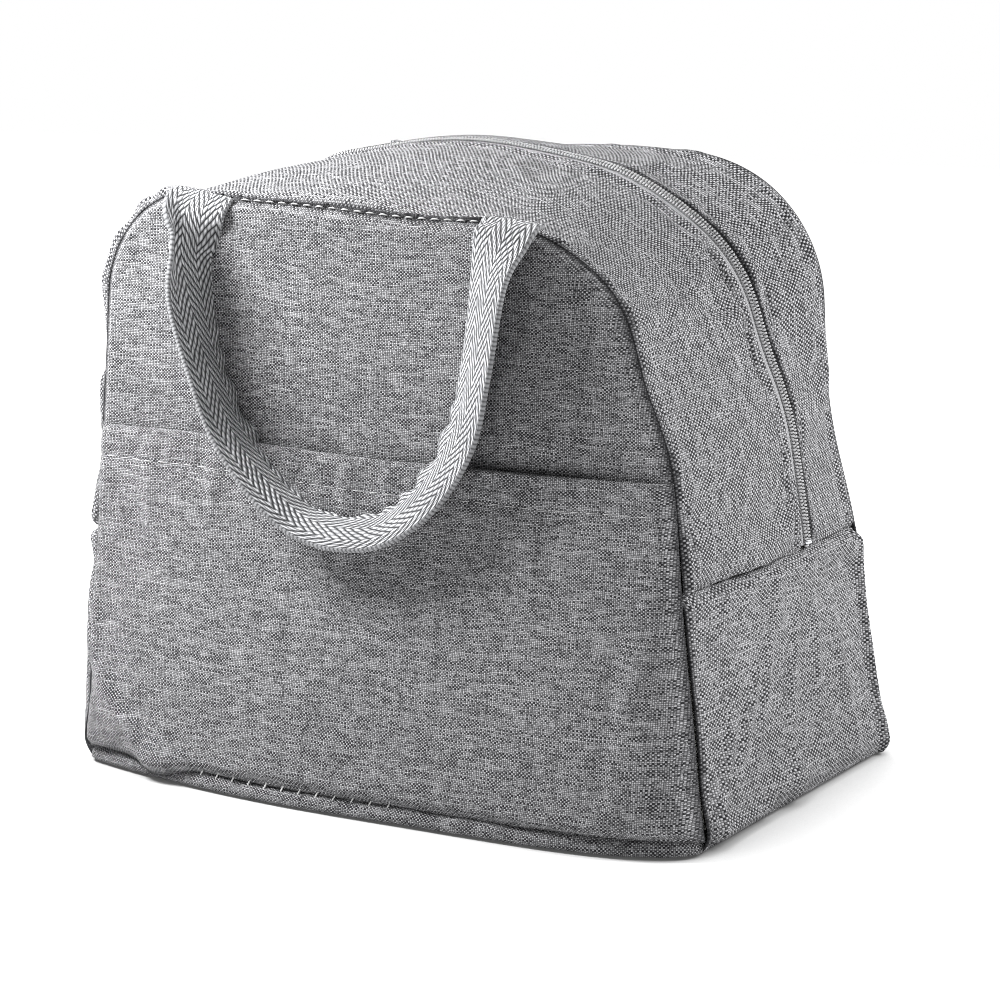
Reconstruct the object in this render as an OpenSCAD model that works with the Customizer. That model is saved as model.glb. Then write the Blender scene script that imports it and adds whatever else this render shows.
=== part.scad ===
// Soft insulated lunch bag: a domed cloth shell over foam and foil lining, a zip that runs
// over the top, a slip pocket on the front and a webbing handle on each face.
// Origin: centre of the base, on the ground. +X right, +Y towards the rear, +Z up.

/* [Body] */
// Width of the base, side seam to side seam
base_w = 262; // [240:1:290]
// Depth of the base, front to rear
base_d = 157; // [140:1:175]
// Depth between the two top seams
top_d = 142; // [130:1:157]
// Height of the top seams above the ground
seam_h = 210; // [200:1:225]
// Radius of the rounded shoulders
shoulder_r = 64; // [55:1:70]
// Half length of the straight top seam between the shoulders
top_run = 54; // [50:1:60]
// How far the top swells above its seams along the zip
crown_h = 15; // [4:1:18]
// How far the sides swell beyond their seams along the zip
side_swell = 2; // [0:0.5:4]
// Height of the side panels, where the zip ends and the front half folds
fold_h = 84; // [76:1:88]
// Height of the base cloth's turned-up front and rear lips
lip_h = 5.5; // [4:0.5:8]

/* [Layers] */
// Thickness of the woven outer cloth
cloth_t = 1; // [0.6:0.1:1.4]
// Thickness of the foam insulation
foam_t = 4; // [3:0.5:5]
// Thickness of the foil lining
lining_t = 0.6; // [0.4:0.1:0.8]
// Width of the tape that binds the inside seams
binding_w = 9; // [7:1:11]

/* [Pocket] */
// Height of the pocket's open top edge
pocket_h = 123; // [110:1:135]
// Room between the pocket and the front panel
pocket_room = 2.2; // [1.5:0.1:4]
// Distance from the pocket's top edge down to its hem stitches
hem_drop = 11; // [8:1:14]

/* [Zip] */
// Zip line, as a share of the half depth behind the middle
zip_v = 0.33; // [0.2:0.01:0.4]
// Distance from the zip line to the folded edge of the cloth
zip_gap = 4; // [4:0.5:5]
// Distance from the zip line to the outer edge of each tape
tape_w = 11; // [10:1:12]
// Width of each row of teeth, with the half slit that the slider's web runs in
coil_w = 2.2; // [2:0.1:2.4]
// Length of the slider
slider_l = 9; // [8:0.5:10]
// Length of the pull tab below its pivot
pull_l = 24; // [18:1:30]

/* [Handles] */
// Width of the webbing
strap_w = 25; // [20:1:27]
// Thickness of the folded webbing
strap_t = 3; // [2:0.2:3]
// Distance from the middle to the centre of each strap end
strap_x = 66; // [60:1:70]
// Height of the middle of the hanging loop
loop_h = 99; // [98:1:110]
// Angle between the hanging loop and the vertical
strap_tilt = 6; // [5:0.5:8]

/* [Stitches] */
// Length of one stitch
stitch_l = 3; // [2:0.5:3.5]
// Distance from one stitch to the next
stitch_pitch = 4; // [4:0.5:6]
// Thickness of the thread
thread_d = 0.5; // [0.4:0.1:0.7]

/* [Hidden] */

CLOTH = "#84858a";
WEBBING = "#c3c4c6";
FOAM = "#f2f2ee";
FOIL = "#cfd2d6";
TAPE = "#a9abae";
METAL = "#b9bbbe";
THREAD = "#dcdcda";

gap = 0.2;          // air left between neighbouring layers
joint_gap = 0.6;    // air left where the front half parts from the lower body
eps = 0.01;
$fn = 48;

// Each layer's outer and inner inset from the outside of the bag.
cloth = [0, cloth_t];
foam = [cloth[1] + gap, cloth[1] + gap + foam_t];
lining = [foam[1] + gap, foam[1] + gap + lining_t];
binding = [lining[1] + gap, lining[1] + gap + 1];

// Angle by which each side leans inwards: the side runs from the base corner, tangent to its shoulder.
shoulder_c = [top_run, seam_h - shoulder_r];
corner_run = base_w / 2 - shoulder_c[0];
side_lean = acos(shoulder_r / norm([corner_run, shoulder_c[1]])) - atan2(shoulder_c[1], corner_run);
shoulder_z = shoulder_c[1] + shoulder_r * sin(side_lean);   // where the straight side ends
face_lean = atan2((base_d - top_d) / 2, seam_h);            // lean of the front and rear faces

// Half depth of the bag at height z.
function half_d(z) = base_d / 2 - z * tan(face_lean);
// Half width of the face at height z on the straight side, at an inset.
function half_w(z, inset) = base_w / 2 - z * tan(side_lean) - inset / cos(side_lean);
// A distance in mm across the gusset as a share of its half depth.
function across(mm) = mm / half_d(fold_h);

// ---- Outline of the face: points run from the left side, over the top, to the right side ----

SIDE_STEPS = 2;
SHOULDER_STEPS = 9;
TOP_STEPS = 6;

// Right half of the outline from height z up to the middle, as [x, z, normal angle].
function right_half(z, inset) = concat(
    [for (i = [0 : SIDE_STEPS - 1])
        let (h = z + (shoulder_z - z) * i / SIDE_STEPS) [half_w(h, inset), h, side_lean]],
    [for (i = [0 : SHOULDER_STEPS])
        let (a = side_lean + (90 - side_lean) * i / SHOULDER_STEPS, r = shoulder_r - inset)
            [shoulder_c[0] + r * cos(a), shoulder_c[1] + r * sin(a), a]],
    [for (i = [1 : TOP_STEPS]) [top_run * (1 - i / TOP_STEPS), seam_h - inset, 90]]
);
function mirrored(p) = [-p[0], p[1], 180 - p[2]];
function arch(z_left, z_right, inset) = concat(
    [for (p = right_half(z_left, inset)) mirrored(p)],
    [let (r = right_half(z_right, inset)) for (i = [len(r) - 2 : -1 : 0]) r[i]]
);

// Closed outline of a face between two heights.
function face_points(z0, z1, inset) = z1 > shoulder_z
    ? [for (p = arch(z0, z0, inset)) [p[0], p[1]]]
    : [[-half_w(z0, inset), z0], [-half_w(z1, inset), z1], [half_w(z1, inset), z1], [half_w(z0, inset), z0]];

// ---- Curved gusset ----

// Swell of the gusset at the zip line, from the side's value up to the crown over the top.
SWELL_REACH = 112;
function swell(x) = side_swell + (crown_h - side_swell) * pow(cos(90 * min(1, abs(x) / SWELL_REACH)), 2);
function bulge(v) = 1 - pow((v < zip_v ? zip_v - v : v - zip_v) / (v < zip_v ? 1 + zip_v : 1 - zip_v), 2);
// A point on the gusset: p is an outline point, v runs from -1 at the front to 1 at the rear.
function gusset_point(p, v, end_inset) =
    let (out = swell(p[0]) * bulge(v))
        [p[0] + out * cos(p[2]), v * (half_d(p[1]) - end_inset), p[1] + out * sin(p[2])];

// A curved band of one layer, from v0 to v1 across the gusset.
module band(z_left, z_right, v0, v1, layer, end_inset, steps = 4) {
    outer = arch(z_left, z_right, layer[0]);
    inner = arch(z_left, z_right, layer[1]);
    band_between(outer, inner, v0, v1, end_inset, steps);
}

// The solid between two matching outlines, as a closed grid of quads.
module band_between(outer, inner, v0, v1, end_inset, steps) {
    m = len(outer);
    vs = [for (j = [0 : steps]) v0 + (v1 - v0) * j / steps];
    points = concat(
        [for (v = vs) for (p = outer) gusset_point(p, v, end_inset)],
        [for (v = vs) for (p = inner) gusset_point(p, v, end_inset)]
    );
    function at(side, j, i) = side * m * (steps + 1) + j * m + i;
    faces = concat(
        [for (j = [0 : steps - 1]) for (i = [0 : m - 2])
            [at(0, j, i), at(0, j + 1, i), at(0, j + 1, i + 1), at(0, j, i + 1)]],
        [for (j = [0 : steps - 1]) for (i = [0 : m - 2])
            [at(1, j, i), at(1, j, i + 1), at(1, j + 1, i + 1), at(1, j + 1, i)]],
        [for (j = [0 : steps - 1]) [at(0, j, 0), at(1, j, 0), at(1, j + 1, 0), at(0, j + 1, 0)]],
        [for (j = [0 : steps - 1])
            [at(0, j, m - 1), at(0, j + 1, m - 1), at(1, j + 1, m - 1), at(1, j, m - 1)]],
        [for (i = [0 : m - 2]) [at(0, 0, i), at(0, 0, i + 1), at(1, 0, i + 1), at(1, 0, i)]],
        [for (i = [0 : m - 2])
            [at(0, steps, i), at(1, steps, i), at(1, steps, i + 1), at(0, steps, i + 1)]]
    );
    polyhedron(points, faces, convexity = 6);
}

// One layer of a side below the zip: its foot is at z0 and its head at z1.
module side_sheet(z0, z1, layer, end_inset) {
    function column(inset) = [for (z = [z0, z1]) [half_w(z, inset), z, side_lean]];
    band_between(column(layer[1]), column(layer[0]), -1, 1, end_inset, 8);
}

// ---- Flat faces ----

// Stands children up as the front face: their X and Y become the bag's X and height, and
// their Z becomes the depth behind the outer face.
module on_front() {
    translate([0, -base_d / 2, 0]) rotate([-face_lean, 0, 0]) rotate([90, 0, 0]) mirror([0, 0, 1]) children();
}
module on_rear() mirror([0, 1, 0]) on_front() children();

module face_sheet(z0, z1, layer, inset) {
    translate([0, 0, layer[0]])
        linear_extrude(layer[1] - layer[0]) polygon(face_points(z0, z1, inset));
}

// A row of stitches along X on a face, centred, with the row's half length.
module stitch_row(half_l, height, depth) {
    count = floor(half_l / stitch_pitch);
    for (i = [-count : count])
        translate([i * stitch_pitch, height, depth])
            rotate([0, 90, 0]) cylinder(d = thread_d, h = stitch_l, center = true, $fn = 16);
}

// ---- Outer cloth ----

cloth_foot = lip_h + gap;

module base_panel() {
    color(CLOTH) difference() {
        translate([-base_w / 2, -base_d / 2, 0]) cube([base_w, base_d, lip_h]);
        translate([-base_w / 2 - 1, -base_d / 2 + cloth_t, cloth_t])
            cube([base_w + 2, base_d - 2 * cloth_t, lip_h]);
        // The lips stop short of the leaning side panels.
        for (s = [0, 1]) mirror([s, 0, 0])
            translate([base_w / 2 - cloth_t - gap, -base_d, cloth_t]) rotate([0, -side_lean, 0])
                cube([10, base_d * 2, lip_h * 2]);
    }
}
module side_panel() side_sheet(cloth_t + gap, fold_h, cloth, 0);
module side_panel_right() color(CLOTH) side_panel();
module side_panel_left() color(CLOTH) mirror([1, 0, 0]) side_panel();
module front_panel_lower() color(CLOTH) on_front()
    face_sheet(cloth_foot, fold_h - joint_gap / 2, cloth, cloth[1] + gap);
module front_panel_upper() color(CLOTH) on_front()
    face_sheet(fold_h + joint_gap / 2, seam_h, cloth, cloth[1] + gap);
module rear_panel() color(CLOTH) on_rear() face_sheet(cloth_foot, seam_h, cloth, cloth[1] + gap);
module gusset_front() color(CLOTH)
    band(fold_h + joint_gap, fold_h + joint_gap, -1, zip_v - across(zip_gap), cloth, 0, 6);
module gusset_rear() color(CLOTH)
    band(fold_h + joint_gap, fold_h + joint_gap, zip_v + across(zip_gap), 1, cloth, 0, 4);

// ---- Front pocket: a tray of cloth sewn to the front panel along its sides and foot ----

POCKET_SEAM = 5;     // width of the sewn edge
POCKET_INSET = 3;    // distance from the pocket's edge to the side seam
module pocket(z0, z1, open_z0) {
    outer = pocket_room + cloth_t + gap;
    color(CLOTH) on_front() difference() {
        translate([0, 0, -outer]) linear_extrude(outer - gap) polygon(face_points(z0, z1, POCKET_INSET));
        translate([0, 0, cloth_t - outer]) linear_extrude(outer)
            polygon(face_points(open_z0, z1 + 1, POCKET_INSET + POCKET_SEAM));
    }
}
module front_pocket_lower() pocket(cloth_foot, fold_h - joint_gap / 2, cloth_foot + POCKET_SEAM);
module front_pocket_upper() pocket(fold_h + joint_gap / 2, pocket_h, fold_h - 1);

// ---- Foam and lining ----

foam_foot = foam[1] + 2 * gap;
lining_foot = lining[1] + 2 * gap;

module floor_sheet(layer) {
    half_x = base_w / 2 - layer[0] - layer[1] * tan(side_lean) - gap;
    half_y = base_d / 2 - layer[0] - layer[1] * tan(face_lean) - gap;
    translate([-half_x, -half_y, layer[0]]) cube([2 * half_x, 2 * half_y, layer[1] - layer[0]]);
}
module foam_base() color(FOAM) floor_sheet(foam);
module lining_base() color(FOIL) floor_sheet(lining);

module foam_side_right() color(FOAM) side_sheet(foam_foot, fold_h - joint_gap, foam, foam[0]);
module foam_side_left() color(FOAM) mirror([1, 0, 0]) side_sheet(foam_foot, fold_h - joint_gap, foam, foam[0]);
module lining_side_right() color(FOIL) side_sheet(lining_foot, fold_h - joint_gap, lining, lining[0]);
module lining_side_left() color(FOIL)
    mirror([1, 0, 0]) side_sheet(lining_foot, fold_h - joint_gap, lining, lining[0]);

module foam_front_lower() color(FOAM) on_front()
    face_sheet(foam_foot, fold_h - joint_gap / 2, foam, foam[1] + gap);
module foam_front_upper() color(FOAM) on_front()
    face_sheet(fold_h + joint_gap / 2, seam_h, foam, foam[1] + gap);
module foam_rear() color(FOAM) on_rear() face_sheet(foam_foot, seam_h, foam, foam[1] + gap);
module lining_front_lower() color(FOIL) on_front()
    face_sheet(lining_foot, fold_h - joint_gap / 2, lining, lining[1] + gap);
module lining_front_upper() color(FOIL) on_front()
    face_sheet(fold_h + joint_gap / 2, seam_h, lining, lining[1] + gap);
module lining_rear() color(FOIL) on_rear() face_sheet(lining_foot, seam_h, lining, lining[1] + gap);

foam_edge = across(tape_w + 1);
lining_edge = across(zip_gap + 1.5);
module foam_gusset_front() color(FOAM)
    band(fold_h + joint_gap, fold_h + joint_gap, -1, zip_v - foam_edge, foam, foam[0], 6);
module foam_gusset_rear() color(FOAM)
    band(fold_h + joint_gap, fold_h + joint_gap, zip_v + foam_edge, 1, foam, foam[0]);
module lining_gusset_front() color(FOIL)
    band(fold_h + joint_gap, fold_h + joint_gap, -1, zip_v - lining_edge, lining, lining[0], 6);
module lining_gusset_rear() color(FOIL)
    band(fold_h + joint_gap, fold_h + joint_gap, zip_v + lining_edge, 1, lining, lining[0]);

// Tape over the raw edges of the inside seams.
binding_v = 1 - across(binding_w);
module binding_front_upper() color(TAPE)
    band(fold_h + joint_gap, fold_h + joint_gap, -1, -binding_v, binding, binding[0], 1);
module binding_rear() color(TAPE)
    band(lining_foot + joint_gap, lining_foot + joint_gap, binding_v, 1, binding, binding[0], 1);
module binding_front_lower() {
    function column(inset) =
        [for (z = [lining_foot + joint_gap, fold_h - joint_gap]) [half_w(z, inset), z, side_lean]];
    color(TAPE) for (s = [0, 1]) mirror([s, 0, 0])
        band_between(column(binding[1]), column(binding[0]), -1, -binding_v, binding[0], 1);
}

// ---- Zip ----

slit = 0.45;                             // half the slit between the two rows of teeth
tape_layer = [cloth[1] + gap, cloth[1] + gap + 0.4];
TAPE_STEPS = 3;
coil_layer = [-0.2, cloth[1]];
stop_l = 2;
zip_foot = fold_h + joint_gap + stop_l + 0.4;         // where the teeth begin, above the end stops
slider_z = zip_foot + slider_l / 2 + 0.5;             // middle of the slider when the zip is shut
front_zip_foot = slider_z + slider_l / 2 + 0.5;       // the front teeth start above the shut slider

module zip_tape_front() color(TAPE)
    band(front_zip_foot, zip_foot, zip_v - across(tape_w), zip_v - across(slit), tape_layer, 0,
        TAPE_STEPS);
module zip_tape_rear() color(TAPE)
    band(zip_foot, zip_foot, zip_v + across(slit), zip_v + across(tape_w), tape_layer, 0, TAPE_STEPS);
module zip_coil_front() color(WEBBING)
    band(front_zip_foot, zip_foot, zip_v - across(coil_w), zip_v - across(slit), coil_layer, 0, 1);
module zip_coil_rear() color(WEBBING)
    band(zip_foot, zip_foot, zip_v + across(slit), zip_v + across(coil_w), coil_layer, 0, 1);

// Places children on the left side's zip line at height z: Z runs up the zip and -X points outwards.
module at_left_zip(z) {
    x = half_w(z, 0.4) + side_swell * cos(side_lean);
    translate([-x, zip_v * half_d(z), z + side_swell * sin(side_lean)])
        rotate([zip_v * face_lean, side_lean, 0]) children();
}

module zip_end_stops() {
    color(METAL) for (s = [0, 1]) mirror([s, 0, 0]) at_left_zip(fold_h + joint_gap + stop_l / 2)
        translate([-0.8, -coil_w, -stop_l / 2]) cube([1.6, 2 * coil_w, stop_l]);
}

// Slider, measured from the middle of the teeth.
plate_t = 1;
outer_plate_x = -1.9;
inner_plate_x = 1.4;
slider_w = 7.6;
web_t = 0.6;
pivot_x = -4.1;      // pivot of the pull, outside the outer plate
pivot_d = 1.6;
pivot_play = 0.1;

module zip_slider() {
    bridge_w = 2;
    bridge_l = 5;
    bridge_h = outer_plate_x - pivot_x + pivot_d;
    color(METAL) at_left_zip(slider_z) difference() {
        union() {
            slider_plate(outer_plate_x, slider_w);
            slider_plate(inner_plate_x, slider_w - 1);
            translate([outer_plate_x, -web_t / 2, -slider_l / 2])
                cube([inner_plate_x - outer_plate_x + plate_t, web_t, slider_l / 2]);
            translate([outer_plate_x - bridge_h, -bridge_w / 2, -bridge_l / 2])
                cube([bridge_h + eps, bridge_w, bridge_l]);
        }
        translate([pivot_x, 0, 0]) rotate([90, 0, 0])
            cylinder(d = pivot_d + 2 * pivot_play, h = bridge_w + 1, center = true);
    }
}
// One plate: a rounded lozenge that is narrower at the closed end.
module slider_plate(x, w) {
    translate([x, 0, 0]) rotate([0, 90, 0]) linear_extrude(plate_t) union() {
        translate([-slider_l / 2, -w * 0.4]) square([slider_l - w / 2, w * 0.8]);
        translate([slider_l / 2 - w / 2, 0]) circle(d = w);
    }
}

// Pull tab: it hangs down from a pin through the slider's bridge.
module zip_pull() {
    arm_w = 1;
    arm_y = 1.4;
    tab_w = 7;
    tab_t = 1.2;
    color(METAL) at_left_zip(slider_z) translate([pivot_x, 0, 0]) {
        rotate([90, 0, 0]) cylinder(d = pivot_d, h = 2 * arm_y + eps, center = true);
        for (s = [-1, 1]) translate([0, s * (arm_y + arm_w / 2), 0]) {
            rotate([90, 0, 0]) cylinder(d = pivot_d, h = arm_w, center = true);
            translate([-tab_t / 2, -arm_w / 2, -7]) cube([tab_t, arm_w, 7]);
        }
        translate([-tab_t / 2, 0, 0]) rotate([0, 90, 0]) linear_extrude(tab_t) difference() {
            union() {
                translate([6, -tab_w / 2]) square([pull_l - 6 - tab_w / 2, tab_w]);
                translate([pull_l - tab_w / 2, 0]) circle(d = tab_w);
            }
            translate([pull_l - tab_w / 2, 0]) circle(d = 3);
        }
    }
}

// ---- Handles ----

hinge_y = top_d / 2 + 2.4;   // the handle swings about the top seam, just outside the cloth
hinge_z = seam_h + 0.5;
strap_end = 1.5;             // distance from the swing axis to the end of the strap
LOOP_STEPS = 28;

// Centre line of the hanging loop: a cubic that is flat at the bottom and steep at the seam.
function loop_point(t) =
    let (x = strap_x * sin(90 * t)) [x, loop_h + (hinge_z - loop_h) * pow(abs(x) / strap_x, 3)];
function loop_normal(t) =
    let (x = strap_x * sin(90 * t), slope = sign(x) * 3 * (hinge_z - loop_h) * x * x / pow(strap_x, 3))
        [-slope, 1] / norm([slope, 1]);
function loop_edge(side) = [for (i = [-LOOP_STEPS : LOOP_STEPS])
    loop_point(i / LOOP_STEPS) + side * strap_w / 2 * loop_normal(i / LOOP_STEPS)];

module handle() {
    inside = loop_edge(1);
    outside = loop_edge(-1);
    translate([0, -hinge_y, hinge_z]) rotate([-strap_tilt, 0, 0]) translate([0, strap_t / 2, -hinge_z])
        rotate([90, 0, 0]) linear_extrude(strap_t) intersection() {
            polygon(concat(outside, [for (i = [len(inside) - 1 : -1 : 0]) inside[i]]));
            translate([-base_w, 0]) square([2 * base_w, hinge_z - strap_end]);
        }
}
module handle_front() color(WEBBING) handle();
module handle_rear() color(WEBBING) mirror([0, 1, 0]) handle();

// ---- Stitches ----

STITCH_LIFT = 0.05;       // the thread lies this far off the cloth
top_row_drop = 3;
module top_stitching()
    stitch_row(strap_x - strap_w / 2 - 2 * stitch_pitch, seam_h - top_row_drop, -thread_d / 2 - STITCH_LIFT);
module top_stitching_front() color(THREAD) on_front() top_stitching();
module top_stitching_rear() color(THREAD) on_rear() top_stitching();
module pocket_hem_stitching() color(THREAD) on_front()
    stitch_row(half_w(pocket_h, POCKET_INSET) - stitch_pitch, pocket_h - hem_drop,
        -(pocket_room + cloth_t + gap) - thread_d / 2 - STITCH_LIFT);

// Whip stitches that close the middle of the base seam.
WHIP_COUNT = 12;
WHIP_PITCH = 7.5;
module base_stitching() {
    depth = pocket_room + cloth_t + gap + thread_d / 2 + STITCH_LIFT;
    color(THREAD) on_front() for (i = [0 : WHIP_COUNT - 1])
        translate([(i - WHIP_COUNT + 3) * WHIP_PITCH, cloth_foot, -depth])
            rotate([90, 0, 0]) cylinder(d = thread_d, h = stitch_l, center = true, $fn = 16);
}

base_panel();
side_panel_left();
side_panel_right();
front_panel_lower();
front_panel_upper();
rear_panel();
front_pocket_lower();
front_pocket_upper();
gusset_front();
gusset_rear();
foam_base();
foam_side_left();
foam_side_right();
foam_front_lower();
foam_front_upper();
foam_rear();
foam_gusset_front();
foam_gusset_rear();
lining_base();
lining_side_left();
lining_side_right();
lining_front_lower();
lining_front_upper();
lining_rear();
lining_gusset_front();
lining_gusset_rear();
binding_front_lower();
binding_front_upper();
binding_rear();
zip_tape_front();
zip_tape_rear();
zip_coil_front();
zip_coil_rear();
zip_end_stops();
zip_slider();
zip_pull();
handle_front();
handle_rear();
top_stitching_front();
top_stitching_rear();
pocket_hem_stitching();
base_stitching();
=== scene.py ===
"""Looks of a soft insulated lunch bag: draped cloth over foam and foil, a zip over the top, two handles."""
import math

import bpy
import numpy as np
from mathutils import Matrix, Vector


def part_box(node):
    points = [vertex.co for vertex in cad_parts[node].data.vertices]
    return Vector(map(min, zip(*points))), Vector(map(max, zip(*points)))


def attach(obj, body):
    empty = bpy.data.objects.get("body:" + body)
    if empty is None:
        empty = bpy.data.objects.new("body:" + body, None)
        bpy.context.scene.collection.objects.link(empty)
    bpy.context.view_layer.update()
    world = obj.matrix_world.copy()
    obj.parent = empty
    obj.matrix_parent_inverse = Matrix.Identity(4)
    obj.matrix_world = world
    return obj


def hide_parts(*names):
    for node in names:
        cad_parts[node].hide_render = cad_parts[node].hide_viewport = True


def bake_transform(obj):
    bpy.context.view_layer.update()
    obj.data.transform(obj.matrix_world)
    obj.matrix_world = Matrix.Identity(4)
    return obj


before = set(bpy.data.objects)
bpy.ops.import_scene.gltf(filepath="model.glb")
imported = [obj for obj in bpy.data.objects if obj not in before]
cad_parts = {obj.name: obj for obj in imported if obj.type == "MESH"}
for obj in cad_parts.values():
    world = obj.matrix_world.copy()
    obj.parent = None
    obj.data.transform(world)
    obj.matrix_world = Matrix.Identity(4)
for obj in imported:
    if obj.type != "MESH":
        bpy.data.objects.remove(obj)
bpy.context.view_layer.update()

# -------------------------------- sizes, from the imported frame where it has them

MM = 0.001
HALF_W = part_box("base_panel")[1].x
HALF_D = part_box("base_panel")[1].y
FOLD_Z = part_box("side_panel_right")[1].z
SEAM_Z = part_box("rear_panel")[1].z
POCKET_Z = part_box("front_pocket_upper")[1].z
HEM_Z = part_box("pocket_hem_stitching")[1].z
ZIP_FOOT_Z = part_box("zip_coil_rear")[0].z
FRONT_FOOT_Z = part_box("zip_coil_front")[0].z

FACE_LEAN = (HALF_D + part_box("gusset_front")[0].y) / FOLD_Z     # inward run of a face per unit of height
ZIP_V = 0.33               # zip line, as a share of the half depth
ZIP_GAP = 4.8 * MM         # from the zip line to the folded edge of each strip
FOLD_SHARE = 0.28          # share of a cross-section's half that lies below the fold height
CROWN_X = -10 * MM         # the top is highest here
CROWN_REACH = 112 * MM
DENT = 6 * MM              # the right shoulder is pushed in this far
REAR_TUCK = 8 * MM         # the strip behind the zip dips to its rear seam, most at the left
TUCK_Z = 120 * MM          # the shoulders are drawn in towards the middle at this height
LEFT_PILLOW = 4 * MM       # the front strip swells most over the left shoulder
LIFT = 3 * MM              # the full bag stands this much taller than its patterns
LEFT_RISE = 5 * MM         # and its left shoulder stands taller still
BELLY = 19 * MM            # the front swells forwards at its foot
BELLY_TOP = 125 * MM
SEW_Z = 5.4 * MM           # height of the seam between the base and the panels
SEAM_DEPTH = 4.2 * MM      # a face drops this far to its seams
LEFT_ROLL = 2.8 * MM       # the left front seam is fuller, and shows past the edge of the front
FRONT_SWELL = 3 * MM
REAR_SWELL = 4 * MM
SAG_X = -88 * MM           # the pocket's foot sags over the base seam here
CLOTH_T = 0.9 * MM
POCKET_T = 0.7 * MM
STITCH_IN = 6.4 * MM       # from a folded edge to its row of stitches

# The front (-1) and the rear (1): the word in their pieces' names, and their body (none for the front).
WORD = {-1: "front", 1: "rear"}
BODY = {-1: None, 1: "main_body"}


def half_depth(z):
    return HALF_D - z * FACE_LEAN


REACH = half_depth(FOLD_Z)      # half depth at the fold, which turns a share v into a distance


def smooth(t):
    t = np.clip(t, 0, 1)
    return t * t * (3 - 2 * t)


def bell(t):
    return np.exp(-t * t)


def unit(vectors):
    return vectors / (np.linalg.norm(vectors, axis=-1, keepdims=True) + 1e-12)


def distance_along(points, axis=0):
    """Distance from the first point of a line, or over a grid from its first row or column."""
    step = np.linalg.norm(np.diff(points, axis=axis), axis=-1)
    return np.insert(np.cumsum(step, axis), 0, 0, axis)


def read_line(line, values, q):
    """Values given at the points of a line, read at distances q along it."""
    s = distance_along(line)
    return np.stack([np.interp(q, s, column) for column in values.T], -1)


def pairs(a, b):
    """Two arrays spread over each other and put side by side, such as U and V at every point of a grid."""
    return np.stack(np.broadcast_arrays(a, b), -1)


def spline(p0, p1, p2, p3, t):
    """A smooth curve (Catmull-Rom) from p1 at t = 0 to p2 at t = 1, led by its neighbours p0 and p3."""
    return p1 + 0.5 * t * (p2 - p0 + t * (2 * p0 - 5 * p1 + 4 * p2 - p3 + t * (3 * (p1 - p2) + p3 - p0)))


class Noise:
    """Smooth noise with no seed left to chance: a sum of a few sine waves in fixed, uneven directions."""

    def __init__(self, seed, size, waves=7):
        rng = np.random.default_rng(seed)
        direction = unit(rng.normal(size=(waves, 3)))
        self.k = direction * (2 * math.pi / size) * rng.uniform(0.6, 1.6, (waves, 1))
        self.phase = rng.uniform(0, 2 * math.pi, waves)

    def __call__(self, points):
        return np.sin(points @ self.k.T + self.phase).mean(-1) * 1.6


# -------------------------------- shape of the bag

class Outline:
    """Half of a cross-section across the bag: a leaning side, a round shoulder and half of the flat top."""
    DENSE = 160

    def __init__(self, side, top, crown, corner, run, radius, dent_z, dent_reach):
        """The side leans in from its corner on the ground, and the flat top reaches from the middle to run."""
        centre_z = top - radius
        lean = math.acos(radius / math.hypot(corner - run, centre_z)) - math.atan2(centre_z, corner - run)
        low = np.linspace(FOLD_Z, centre_z + radius * math.sin(lean), self.DENSE)
        turn = np.linspace(lean, math.pi / 2, self.DENSE)[1:]
        flat = np.linspace(run, 0, self.DENSE)[1:]
        x = side * np.concatenate([corner - low * math.tan(lean), run + radius * np.cos(turn), flat])
        z = np.concatenate([low, centre_z + radius * np.sin(turn), np.full(len(flat), top)])
        z += crown * np.cos(np.clip((x - CROWN_X) / CROWN_REACH, -1, 1) * math.pi / 2) ** 2
        if side > 0:
            dent = DENT * bell((z - dent_z) / dent_reach)
            x -= 0.9 * dent
            z -= 0.3 * dent
        distance = distance_along(np.stack([x, z], -1))
        self.x, self.z = x, z
        self.length = distance[-1]
        self.share = distance / self.length
        self.foot = side * corner
        # Share of the whole half where the straight top begins.
        self.corner_share = FOLD_SHARE + (1 - FOLD_SHARE) * float(np.interp(-run, -np.abs(x), self.share))

    def point(self, f):
        """Point at share f: 0 at the ground, FOLD_SHARE at the fold height, 1 at the middle of the top."""
        low = np.clip(f / FOLD_SHARE, 0, 1)
        high = np.clip((f - FOLD_SHARE) / (1 - FOLD_SHARE), 0, 1)
        low_x, high_x = self.foot + (self.x[0] - self.foot) * low, np.interp(high, self.share, self.x)
        low_z, high_z = FOLD_Z * low, np.interp(high, self.share, self.z)
        return np.where(f < FOLD_SHARE, low_x, high_x), np.where(f < FOLD_SHARE, low_z, high_z)

    def side_x(self, z):
        """Where the leaning side is at a height."""
        low = self.foot + (self.x[0] - self.foot) * z / FOLD_Z
        return np.where(z < FOLD_Z, low, np.interp(z, self.z[:self.DENSE], self.x[:self.DENSE]))

    def side_share(self, z):
        """Share of the point of the leaning side at a height above the fold."""
        high = float(np.interp(z, self.z[:self.DENSE], self.share[:self.DENSE]))
        return FOLD_SHARE + (1 - FOLD_SHARE) * high


def station(top, crown, left, right, dent_z=160 * MM, dent_reach=22 * MM):
    """A whole cross-section: an outline for the left (-1), then one for the right (1)."""
    return {side: Outline(side, top, crown, HALF_W + out, run, radius, dent_z, dent_reach)
            for side, (out, run, radius) in ((-1, left), (1, right))}


# Each side is (how far its foot stands outside the base, half length of the flat top, shoulder radius).
ZIP = station(SEAM_Z + 3 * MM, 16 * MM, (0.9 * MM, 72.8 * MM, 44 * MM), (0, 34 * MM, 78 * MM))
FACE = {
    -1: station(SEAM_Z, 0, (0, 82 * MM, 39 * MM), (0, 38 * MM, 75 * MM)),
    1: station(SEAM_Z + 13.5 * MM, 5 * MM, (0, 76 * MM, 45 * MM), (0, 48 * MM, 59 * MM), 130 * MM, 45 * MM),
}


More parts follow.
